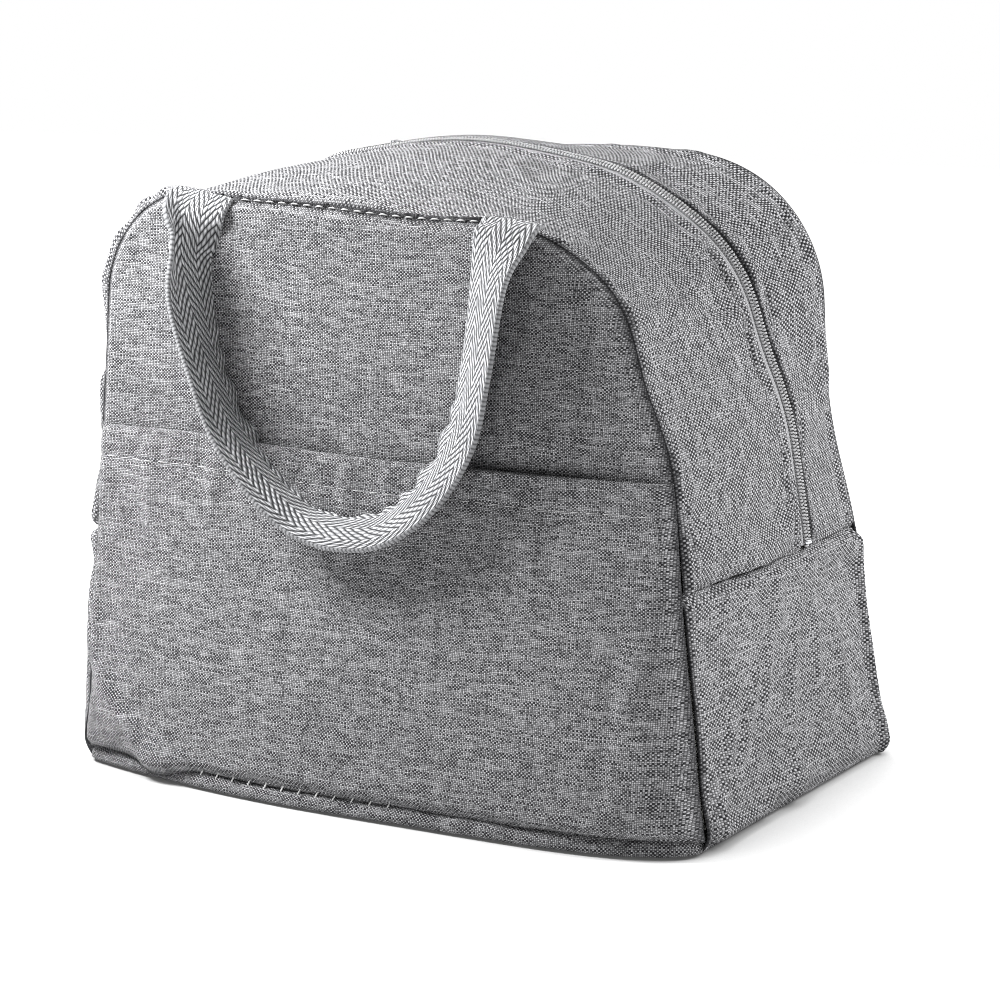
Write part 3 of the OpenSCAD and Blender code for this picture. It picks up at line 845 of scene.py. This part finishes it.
def pocket_cloth():
    """Pocket: the same cloth laid over the foot of the front, its top edge folded back and stitched."""
    columns = face_columns(FACE_COLUMNS)
    z = SEW_Z + spaced(POCKET_Z - SEW_Z, FINE, 0.8 * MM, 6 * MM)
    points, edge = pocket_surface(z, columns)
    coarse, _ = pocket_surface(np.linspace(SEW_Z, POCKET_Z, 26), np.linspace(0, 1, 52))
    shift = drape(coarse, 0.010, 3 * MM, True, 33)
    shift = read_grid(shift, (z - SEW_Z) / (POCKET_Z - SEW_Z), columns)
    shift[..., 1] = np.minimum(shift[..., 1], 0.4 * MM)
    points = points + shift
    hem = int(np.argmin(np.abs(points[:, points.shape[1] // 2, 2] - HEM_Z)))
    uv = points[..., [0, 2]] + [0.27, 0.11]
    points, uv = folded_over(points, uv, 1, 0.9 * MM, (50, 100, 150, 180), 6, 1.2 * MM)
    points[..., 1] += 0.5 * MM * bell((np.arange(len(points)) - hem) / 0.9)[:, None]
    points = settle(points)
    # painted shade along the pocket's seams
    shade = np.zeros(points.shape[:2])
    shade[:len(edge)] = bell(edge / (1.2 * MM))
    cloth = sheet("pocket_cloth", points, uv, CLOTH, POCKET_T, True, shade)
    place(cloth, ["front_pocket_lower", "front_pocket_upper"])
    line = points[hem, 6:-6]
    forward = np.tile([0.0, -1.0, 0.0], (len(line), 1))
    sewing = stitches("pocket_hem_thread", line, forward, PALE_THREAD, 4.2 * MM, 2.0 * MM, 0.18 * MM)
    place(sewing, ["pocket_hem_stitching"])


pocket_cloth()

# -------------------------------- outer cloth: sides and base

# Drawn-up creases of a side panel: a point (y, z), a direction (y, z), a height and a half width.
SIDE_CREASES = [
    (-56 * MM, 26 * MM, 0.55, 0.83, 2.6 * MM, 3.6 * MM),
    (-38 * MM, 34 * MM, 0.62, 0.78, 2.2 * MM, 3.4 * MM),
    (-18 * MM, 48 * MM, 0.42, 0.91, 1.8 * MM, 3.2 * MM),
    (4 * MM, 40 * MM, 0.34, 0.94, 1.5 * MM, 3.4 * MM),
    (26 * MM, 46 * MM, 0.10, 0.99, 1.4 * MM, 3.2 * MM),
    (48 * MM, 34 * MM, -0.20, 0.98, 1.5 * MM, 3.6 * MM),
]


def side_cloth(side, word):
    """Side panel: from under the base up to a folded top edge that laps over the gusset's foot."""
    flip = side > 0
    v = -1 + 2 * face_columns(105, 2 * HALF_D)
    f = np.linspace(0.012, 1, 62) * FOLD_SHARE
    coarse = wrap(side, (np.linspace(0, 1, 18) * FOLD_SHARE)[:, None], np.linspace(-1, 1, 32)[None])
    shift = drape(coarse, 0.02, 5 * MM, flip, 51 + side, 0.4)
    points = wrap(side, f[:, None], v[None]) + read_grid(shift, f / FOLD_SHARE, (v + 1) / 2)
    y, z = points[..., 1].copy(), points[..., 2].copy()
    d = (1 - np.abs(v))[None] * HALF_D
    front_d = (1 + v)[None] * HALF_D
    out = 1.6 * MM * smooth(d / (5 * MM)) * smooth((z - FOLD_Z + 14 * MM) / (12 * MM))
    out = out - 3.2 * MM * bell((FOLD_Z - z) / (1.8 * MM)) + 1.6 * MM * bell((z - 9 * MM) / (8 * MM))
    out = out + 0.8 * seam_roll(d)
    if not flip:
        out = out + 2.4 * MM * bell((front_d - 9 * MM) / (8 * MM)) * (1 - smooth((z - 40 * MM) / (30 * MM)))
        out = out + left_roll(front_d)
    for y0, z0, dy, dz, tall, wide in SIDE_CREASES:
        lengthwise = (y - y0) * dy + (z - z0) * dz
        off = (z - z0) * dy - (y - y0) * dz
        out = out + tall * bell(off / wide) * bell(lengthwise / (22 * MM))
    under = -3.5 * MM * np.clip(1 - (z - 0.6 * MM) / (7 * MM), 0, 1) ** 2
    pull = -3.0 * MM * bell(front_d / (9 * MM)) * bell(z / (14 * MM)) * smooth(front_d / (2 * MM))
    points[..., 0] += side * (out + under + pull)
    points[..., 1] -= pull * (v < 0)
    uv = pairs(distance_along(points, 1) + 0.2 * side, z + 0.7)
    points, uv = folded_over(points, uv, 0, -side * 0.8 * MM, (60, 120, 180), 4, 1.3 * MM)
    # painted shade along the side panel's seams
    cloth = sheet(f"side_cloth_{word}", settle(points), uv, SIDE_CLOTH, CLOTH_T, flip, bell(d / (1.2 * MM)))
    place(cloth, [f"side_panel_{word}"])


side_cloth(-1, "left")
side_cloth(1, "right")


def base_outline(count, half_w, half_d, radius):
    """Plan of the base: a rectangle with round corners, its front edge pushed forwards by the belly."""
    a = np.linspace(0, math.pi / 2, 12)
    corner = np.stack([half_w - radius + radius * np.sin(a), half_d - radius + radius * np.cos(a)], -1)
    quarters = [corner, corner[::-1] * [1, -1], corner * [-1, -1], corner[::-1] * [-1, 1], corner[:1]]
    loop = np.concatenate(quarters)
    loop = read_line(loop, loop, np.linspace(0, distance_along(loop)[-1], count))
    loop[:, 1] -= belly(loop[:, 0], 0) * smooth(-loop[:, 1] / (0.8 * half_d))
    return loop


def base_cloth():
    """Base: flat on the ground, its border rolled up as a narrow welt in front of the panels' seam."""
    ground = 0.3 * MM
    loop = base_outline(420, HALF_W - 1.8 * MM, HALF_D + 3.2 * MM, 5 * MM)
    tangent = np.roll(loop, -1, 0) - np.roll(loop, 1, 0)
    tangent[[0, -1]] = loop[1] - loop[-2]
    tangent = unit(tangent)
    out = np.stack([-tangent[:, 1], tangent[:, 0]], -1)
    overlap = 0.16 * smooth((loop[:, 0] + 5 * MM) / (2 * MM))
    welt = 3.4 * MM * (1 + overlap + 0.12 * Noise(61, 30 * MM)(np.pad(loop, ((0, 0), (0, 1)))))
    rows = [np.pad(loop * t, ((0, 0), (0, 1)), constant_values=ground) for t in np.linspace(0.02, 0.93, 24)]
    for a in np.radians(np.linspace(-90, 165, 16)):
        flat = loop - out * (welt * (1 - math.cos(a)))[:, None]
        tall = 0.45 * (1 + math.sin(a)) if a < 0 else 0.45 + math.sin(a)
        rows.append(np.column_stack([flat, 1.15 * welt * tall + ground]))
    grid = np.stack(rows)
    around, across = distance_along(loop), distance_along(grid[:, len(loop) // 2])
    uv = pairs(around[None], across[:, None] + 0.9)
    place(sheet("base_cloth", grid, uv, CLOTH, 0.8 * MM), ["base_panel"], "main_body")


base_cloth()

# -------------------------------- foam, lining and bindings

def inner_layer(layer, inset, thick, material, zip_gap):
    """One layer inside the cloth, set in by a distance: front and rear, top strips, sides and base."""
    def add(name, points, uv, flip, nodes=None, body=None):
        place(sheet(name, points, uv, material, thick, flip), nodes or [name], body)

    rows, columns = np.linspace(0.02, 1, 60), np.linspace(0, 1, 70)
    nodes = {-1: [f"{layer}_front_lower", f"{layer}_front_upper"], 1: [f"{layer}_rear"]}
    for sign in (-1, 1):
        points, _ = face_points(rows, columns, sign, 0)
        points[..., 1] -= sign * (inset + 2.5 * MM)
        points[..., 0] *= (HALF_W - inset - 3 * MM) / HALF_W
        points[..., 2] = inset + (points[..., 2] - inset) * (1 - 2.0 * inset / SEAM_Z)
        add(f"{layer}_{WORD[sign]}", settle(points), points[..., [0, 2]], sign < 0, nodes[sign], BODY[sign])

    f_left, f_right = band_shares(4 * MM)
    seam, gap = 1 - inset / REACH, zip_gap / REACH
    for sign, v in ((-1, np.linspace(-seam, ZIP_V - gap, 26)), (1, np.linspace(ZIP_V + gap, seam, 14))):
        points = band_points(f_left, f_right, v)
        points = settle(points - grid_normals(points) * inset)
        add(f"{layer}_gusset_{WORD[sign]}", points, band_uv(f_left, f_right, v), False, None, BODY[sign])

    for side, word in ((-1, "left"), (1, "right")):
        f, v = np.linspace(0.08, 1, 26) * FOLD_SHARE, np.linspace(-seam, seam, 44)
        points = wrap(side, f[:, None], v[None])
        points[..., 0] -= side * inset
        add(f"{layer}_side_{word}", settle(points), points[..., [1, 2]], side > 0)

    x = np.linspace(-1, 1, 60) * (HALF_W - inset - 2 * MM)
    y = np.linspace(-1, 1, 40) * (HALF_D - inset - 1 * MM)
    points = np.stack(np.broadcast_arrays(x[:, None], y[None], np.float64(inset + thick)), -1).copy()
    points[..., 2] += 0.4 * MM * Noise(71, 45 * MM)(points)
    add(f"{layer}_base", points, points[..., :2], False, None, "main_body")


inner_layer("foam", 4.0 * MM, 3.2 * MM, FOAM, 13 * MM)
inner_layer("lining", 8.0 * MM, 0.5 * MM, FOIL, 9 * MM)


def binding(sign, nodes):
    """Tape folded over the raw edges of an inside seam."""
    inset, width, columns = 7.6 * MM, 9 * MM, 8
    flip = sign > 0
    f_left, f_right = np.linspace(0.04, 1, 110), np.linspace(1, 0.04, 110)[1:]
    across = np.linspace(0, width, columns)
    points = band_points(f_left, f_right, sign * (1 - (inset + across) / REACH))
    bulge = 0.8 * MM * np.sin(np.linspace(0, math.pi, columns))[None, :, None]
    points = settle(points - grid_normals(points, flip) * (inset + bulge))
    left, right = (half.length + FOLD_Z for half in FACE[-1].values())
    lengthwise = np.concatenate([f_left * left, 2 * left - f_right * right])
    uv = pairs(across[None], lengthwise[:, None])
    tape = sheet(f"binding_tape_{WORD[sign]}", points, uv, BINDING, 0.7 * MM, flip)
    place(tape, nodes, BODY[sign])


binding(-1, ["binding_front_lower", "binding_front_upper"])
binding(1, ["binding_rear"])

# -------------------------------- zip

RISE = 0.4 * MM               # height of the teeth's middle over the zip line
SLIDER_RUN_X = -119 * MM      # left of here the slider runs, and the tape lies level with the teeth
TAPE_ROWS = np.array([0.5, 1.2, 2.2, 2.6, 3.4, 4.2, 5.2, 6.4, 8, 9.6, 11]) * MM      # from the zip line
TOOTH_PITCH = 1.25 * MM
TOOTH_RADII = np.array([0.30, 0.44, 0.46, 0.46, 0.46, 0.44, 0.30]) * MM
TOOTH_SIDES = 6


def zip_shares(sign, step):
    """Shares along the zip at an even step. The front half of the zip has its own foot at the left."""
    low = {-1: ZIP[-1].side_share(FRONT_FOOT_Z if sign < 0 else ZIP_FOOT_Z),
           1: ZIP[1].side_share(ZIP_FOOT_Z)}
    left, right = (round(ZIP[s].length * (1 - low[s]) / (1 - FOLD_SHARE) / step) for s in (-1, 1))
    return np.linspace(low[-1], 1, left), np.linspace(1, low[1], right)[1:]


def zip_tape(sign):
    flip = sign < 0
    f_left, f_right = zip_shares(sign, 1.6 * MM)
    d = TAPE_ROWS
    v = ZIP_V + sign * d / REACH
    points = band_points(f_left, f_right, v)
    raised = 0.35 * MM * bell((d - 3.5 * MM) / (0.8 * MM))
    drop = -1.1 * MM * smooth((d - 4.5 * MM) / (3 * MM))[None]
    if sign > 0:
        deep = smooth((points[..., 0] - SLIDER_RUN_X) / (15 * MM))
        drop = drop * (1 - deep) - 4.5 * MM * smooth((d - 2.3 * MM) / (1.2 * MM)) * deep
    points = points + grid_normals(points, flip) * (raised[None] + drop - 0.5 * MM)[..., None]
    uv = band_uv(f_left, f_right, v)[..., ::-1]
    name = f"zip_tape_{WORD[sign]}"
    tape = sheet(f"{name}_cloth", settle(points), uv, ZIP_TAPE, 0.5 * MM, flip)
    place(tape, [name], BODY[sign])


def zip_teeth(sign):
    """Loops of nylon, one after the other, from the tape to just past the middle, and their sewing."""
    beside = 1 * MM / REACH
    line = band_points(*zip_shares(sign, TOOTH_PITCH), np.array([ZIP_V - beside, ZIP_V, ZIP_V + beside]))
    normal = grid_normals(line)[:, 1]
    line = line[:, 1]
    tangent = unit(np.gradient(line, axis=0))
    back = np.cross(normal, tangent)
    back *= np.sign(back[:, 1:2])
    t = np.linspace(0, 1, len(TOOTH_RADII))
    offset = sign * (0.25 + 2.15 * t) * MM
    rise = (0.15 + 0.75 * np.sin(math.pi * np.clip(t * 1.1, 0, 1)) ** 0.6) * MM + RISE - 0.5 * MM
    a = np.linspace(0, 2 * math.pi, TOOTH_SIDES, endpoint=False)[None, None, :, None]
    start = line - sign * 0.25 * TOOTH_PITCH * tangent
    centre = start[:, None] + back[:, None] * offset[None, :, None] + normal[:, None] * rise[None, :, None]
    spoke = np.cos(a) * tangent[:, None, None] + np.sin(a) * normal[:, None, None]
    rings = centre[:, :, None] + TOOTH_RADII[None, :, None, None] * spoke
    faces = tube_faces(*rings.shape[:3])[:, ::-sign].tolist()
    teeth = new_mesh(f"zip_teeth_{WORD[sign]}", settle(rings), faces, None, COIL)
    place(teeth, [f"zip_coil_{WORD[sign]}"], BODY[sign])
    seam = settle(line + back * sign * 1.5 * MM + normal * (RISE + 0.6 * MM))
    sewing = stitches(f"zip_sewing_{WORD[sign]}", seam, normal, DARK_THREAD, 0.85 * MM, 0.6 * MM, 0.22 * MM)
    place(sewing, [], BODY[sign])


for sign in (-1, 1):
    zip_tape(sign)
    zip_teeth(sign)


def end_stops():
    """A bent metal staple over the coil at each end of the zip."""
    rings = []
    across = np.array([0, 1.0, 0])
    for side, half in ZIP.items():
        f = half.side_share(ZIP_FOOT_Z)
        foot = wrap(side, np.array([f, f + 0.005]), ZIP_V)
        up = unit(foot[1] - foot[0])
        out = np.cross(across, up)
        out *= np.sign(out[0]) * side
        a = np.linspace(-0.9, 0.9, 9) * math.pi / 2
        sideways, outwards = np.outer(np.sin(a), across), np.outer(np.cos(a), out)
        path = foot[0] + up * 0.9 * MM + sideways * 2.2 * MM + outwards * 1.5 * MM
        b = np.linspace(0, 2 * math.pi, 8, endpoint=False)[None, :, None]
        radial = (sideways + outwards)[:, None]
        rings.append(path[:, None] + np.cos(b) * 0.35 * MM * radial + np.sin(b) * 0.8 * MM * up)
    staples = tubes("end_stop_staples", settle(np.stack(rings)), METAL)
    place(staples, ["zip_end_stops"], "main_body")


end_stops()
for node in ("zip_slider", "zip_pull"):
    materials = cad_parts[node].data.materials
    materials.clear()
    materials.append(METAL)

# -------------------------------- handles

STRAP_W = 24 * MM
STRAP_T = 1.6 * MM
STRAP_ROWS = 340
STRAP_COLUMNS = 25
REAR_ROOT_RISE = 10.2 * MM          # the rear seam stands this much higher than the front one,
REAR_ROOT_SLOPE = 1 / (350 * MM)    # and more to the right, by this share per metre

# Path of a strap's middle line: x, forward distance, z, all in mm, and the turn of its face in degrees.
# A turn of 0 faces forwards. At 90 the face looks to the inside of the loop, with the outer edge in front.
STRAP_PATH = [
    (-76.5, 72.5, 208.5, 0),
    (-77, 79.5, 203.5, 14),
    (-77.5, 83, 195, 44),
    (-76, 86, 184, 70),
    (-66, 88, 154, 88),
    (-51, 89.5, 126, 84),
    (-24, 90, 103, 73),
    (4, 90, 101, 60),
    (25, 90, 114, 46),
    (39, 89, 135, 38),
    (45, 88, 158, 38),
    (48.5, 84.5, 190, 32),
    (51.5, 80.5, 204.5, 10),
    (52, 73, 209, 0),
]


def curve_through(points, count):
    """A smooth curve through a few points, sampled evenly, and the length up to each sample."""
    p = np.vstack([2 * points[0] - points[1], points, 2 * points[-1] - points[-2]])
    t = np.linspace(0, 1, 40, endpoint=False)[:, None]
    parts = [spline(*p[k - 1:k + 3], t) for k in range(1, len(p) - 2)]
    dense = np.vstack(parts + [p[-2:-1]])
    s = np.linspace(0, distance_along(dense[:, :3])[-1], count)
    return read_line(dense[:, :3], dense, s), s


def handle(name, node, body, sign, root_rise):
    """A strap of webbing: its face turns along the path, its inner edge ruffles where the loop bends."""
    rows = np.array(STRAP_PATH, float)
    rows[:, :3] *= MM
    rise = root_rise * (1 + rows[:, 0] * REAR_ROOT_SLOPE)
    rows[:, 2] += rise * smooth((rows[:, 2] - 190 * MM) / (15 * MM))
    rows[:, 2] += LIFT + left_rise(rows[:, 0], rows[:, 2]) * smooth((rows[:, 2] - 150 * MM) / (50 * MM))
    rows[:, 3] = np.radians(rows[:, 3])
    rows[:, 1] *= sign
    data, s = curve_through(rows, STRAP_ROWS)
    centre, turn = data[:, :3], data[:, 3:]
    tangent = unit(np.gradient(centre, axis=0))
    forward = np.array([0, sign, 0.0])
    inner = np.cross(tangent, forward)
    inner = unit(inner * np.sign(inner[STRAP_ROWS // 2, 2]))
    face = np.cross(inner, tangent)
    face = unit(face * np.sign((face * forward).sum(1).mean()))
    width_way = (inner * np.cos(turn) - face * np.sin(turn))[:, None]
    face_way = (face * np.cos(turn) + inner * np.sin(turn))[:, None]

    # The inner edge ruffles where the loop bends, and the outer edge is folded forwards near the left root.
    share = (s / s[-1])[:, None]
    bend = smooth((0.5 - np.abs(share - 0.46)) / 0.16 - 0.9)
    w = np.linspace(-1, 1, STRAP_COLUMNS)[None]
    cup = -1.8 * MM * (0.35 + 0.65 * bend) * (w ** 2 - 0.4)
    phase = (s / (2.0 * MM) + 1.6 * np.sin(s / (9 * MM)))[:, None]
    gathered = bend * np.clip(w, 0, 1) ** 2.2
    ruffle = 1.8 * MM * np.sin(phase) * gathered
    pinch = -1.6 * MM * (0.5 + 0.5 * np.sin(phase + 1)) * gathered
    margin = np.clip(-0.45 - w, 0, 1) * STRAP_W / 2
    fold = math.radians(75) * bell((share - 0.07) / 0.05)
    sideways = STRAP_W / 2 * w + pinch + margin * (1 - np.cos(fold))
    outwards = ruffle + cup + margin * np.sin(fold)
    points = centre[:, None] + width_way * sideways[..., None] + face_way * outwards[..., None]
    uv = pairs(w * STRAP_W / 2, s[:, None])
    flip = float((grid_normals(points) * face_way).sum(-1).mean()) < 0
    points = points + grid_normals(points, flip) * STRAP_T / 2
    place(sheet(name, points, uv, WEBBING, STRAP_T, flip), [node], body)


handle("handle_front_strap", "handle_front", "front_handle", -1, 0)
handle("handle_rear_strap", "handle_rear", "rear_handle", 1, REAR_ROOT_RISE)

# -------------------------------- stitches along the top seams and the base


def top_seam_thread(sign, line, middle, half_length, body):
    """Stitches just under a top seam, between the two roots of the strap."""
    line = line[np.abs(line[:, 0] - middle) < half_length] + [0, sign * 0.3 * MM, -0.6 * MM]
    upward = np.tile([0.0, sign * 0.8, 0.6], (len(line), 1))
    word = WORD[sign]
    sewing = stitches(f"top_seam_thread_{word}", line, upward, PALE_THREAD, 3.4 * MM, 1.9 * MM, 0.3 * MM)
    place(sewing, [f"top_stitching_{word}"], body)


top_seam_thread(-1, front_settled[-1], -12 * MM, 52 * MM, "front_flap")
top_seam_thread(1, rear_settled[-1], 0, 45 * MM, "main_body")


def whip_stitches(count):
    """Slanting stitches that close the base welt on the front panel."""
    low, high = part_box("base_stitching")
    forward = np.tile([0.0, -1.0, 0.0], (STITCH_RINGS, 1))
    z = np.linspace(SEW_Z - 1.2 * MM, SEW_Z + 2.6 * MM, STITCH_RINGS)
    rings = []
    for x in np.linspace(low.x, high.x, count):
        y = np.full(STITCH_RINGS, -(HALF_D + float(belly(x, SEW_Z)) + 2.2 * MM))
        rings.append(capsule(np.stack([x + 0.5 * (z - SEW_Z), y, z], -1), forward, 0.3 * MM))
    place(tubes("base_whip_thread", rings, THREAD), ["base_stitching"], "main_body")


whip_stitches(12)

# -------------------------------- stage, light and camera

FLOOR_HALF = 3                 # metres
SHADOW_REACH = 90 * MM         # the floor's painted shadow reaches this far from the bag
WORLD_LIGHT = 0.24             # light of the surroundings on the bag; the camera sees them white


def floor():
    """A pale paper floor that glows white away from the bag, with a soft shadow painted next to it."""
    line = np.linspace(-FLOOR_HALF, FLOOR_HALF, 4)
    grid = np.stack(np.broadcast_arrays(line[:, None], line[None], 0.0), -1)
    paper = Graph("floor_paper")
    nearby = paper.node("AmbientOcclusion", {"Distance": SHADOW_REACH}, "AO", samples=16)
    # painted shadow: ambient occlusion darkens the paper's colour and its glow close to the bag
    unshadowed = paper.math("POWER", paper.spread(nearby, 0.25, 0.97), 1.5)
    mottle = paper.spread(paper.noise(paper.place(), 3, 2), 0.0, 1.0, 0.98, 1.0)
    paper.finish(paper.colour(paper.mul(unshadowed, mottle), (0.30, 0.30, 0.30), (0.92, 0.92, 0.92)), 0.9)
    away = paper.node("VectorMath", {0: paper.place()}, "Value", operation="LENGTH")
    glow = paper.mul(paper.spread(away, 0.2, 0.5, 0.45, 0.80), paper.spread(unshadowed, 0, 1, 0.15, 1.0))
    paper.put(paper.shader.inputs["Emission Color"], (1, 1, 1, 1))
    paper.put(paper.shader.inputs["Emission Strength"], glow)
    new_mesh("floor", grid, grid_faces(4, 4).tolist(), None, paper.material)


def surroundings():
    """Even white light from all round, brighter to the camera than to the bag."""
    world = bpy.data.worlds.new("studio")
    bpy.context.scene.world = world
    world.use_nodes = True
    tree = world.node_tree
    ray = tree.nodes.new("ShaderNodeLightPath")
    level = tree.nodes.new("ShaderNodeMapRange")
    level.inputs["To Min"].default_value = WORLD_LIGHT
    level.inputs["To Max"].default_value = 1.0
    tree.links.new(ray.outputs["Is Camera Ray"], level.inputs["Value"])
    tree.nodes["Background"].inputs["Color"].default_value = (1, 1, 1, 1)
    tree.links.new(level.outputs[0], tree.nodes["Background"].inputs["Strength"])


def seen_from(azimuth, elevation):
    """Direction from the bag to a lamp or the camera. An azimuth of 0 is in front, and 90 to the right."""
    return np.array([math.sin(azimuth) * math.cos(elevation), -math.cos(azimuth) * math.cos(elevation),
                     math.sin(elevation)])


def softbox(name, azimuth, elevation, distance, size, power):
    light = bpy.data.lights.new(name, "AREA")
    light.energy = power
    light.size = size
    lamp = bpy.data.objects.new(name, light)
    back = seen_from(math.radians(azimuth), math.radians(elevation))
    lamp.location = back * distance + [0, 0, 100 * MM]
    lamp.rotation_euler = Vector(-back).to_track_quat("-Z", "Y").to_euler()
    bpy.context.scene.collection.objects.link(lamp)


floor()
surroundings()

# Each lamp: degrees round the bag and up, distance and size in metres, power in watts.
softbox("key_left", -50, 42, 0.44, 0.14, 4.9)
softbox("fill_right", 116, 35, 0.9, 0.5, 10.5)
softbox("top", 0, 88, 1.2, 1.0, 3.5)

# The camera was fitted to the photo's seams and corners. Its distance and target are in widths of the base.
AZIMUTH, ELEVATION = math.radians(29.9), math.radians(10.33)
DISTANCE = 4.387 * 2 * HALF_W
TARGET = np.array([0.01735, 0, 0.3686]) * 2 * HALF_W + [0, 0, LIFT]
LENS = 110.1
view = bpy.data.cameras.new("camera")
view.lens = LENS
camera = bpy.data.objects.new("camera", view)
bpy.context.scene.collection.objects.link(camera)
camera.location = TARGET + seen_from(AZIMUTH, ELEVATION) * DISTANCE
camera.rotation_euler = (math.pi / 2 - ELEVATION, 0, AZIMUTH)
bpy.context.scene.camera = camera
bpy.context.scene.view_settings.view_transform = "Standard"
bpy.context.scene.cycles.filter_width = 0.9
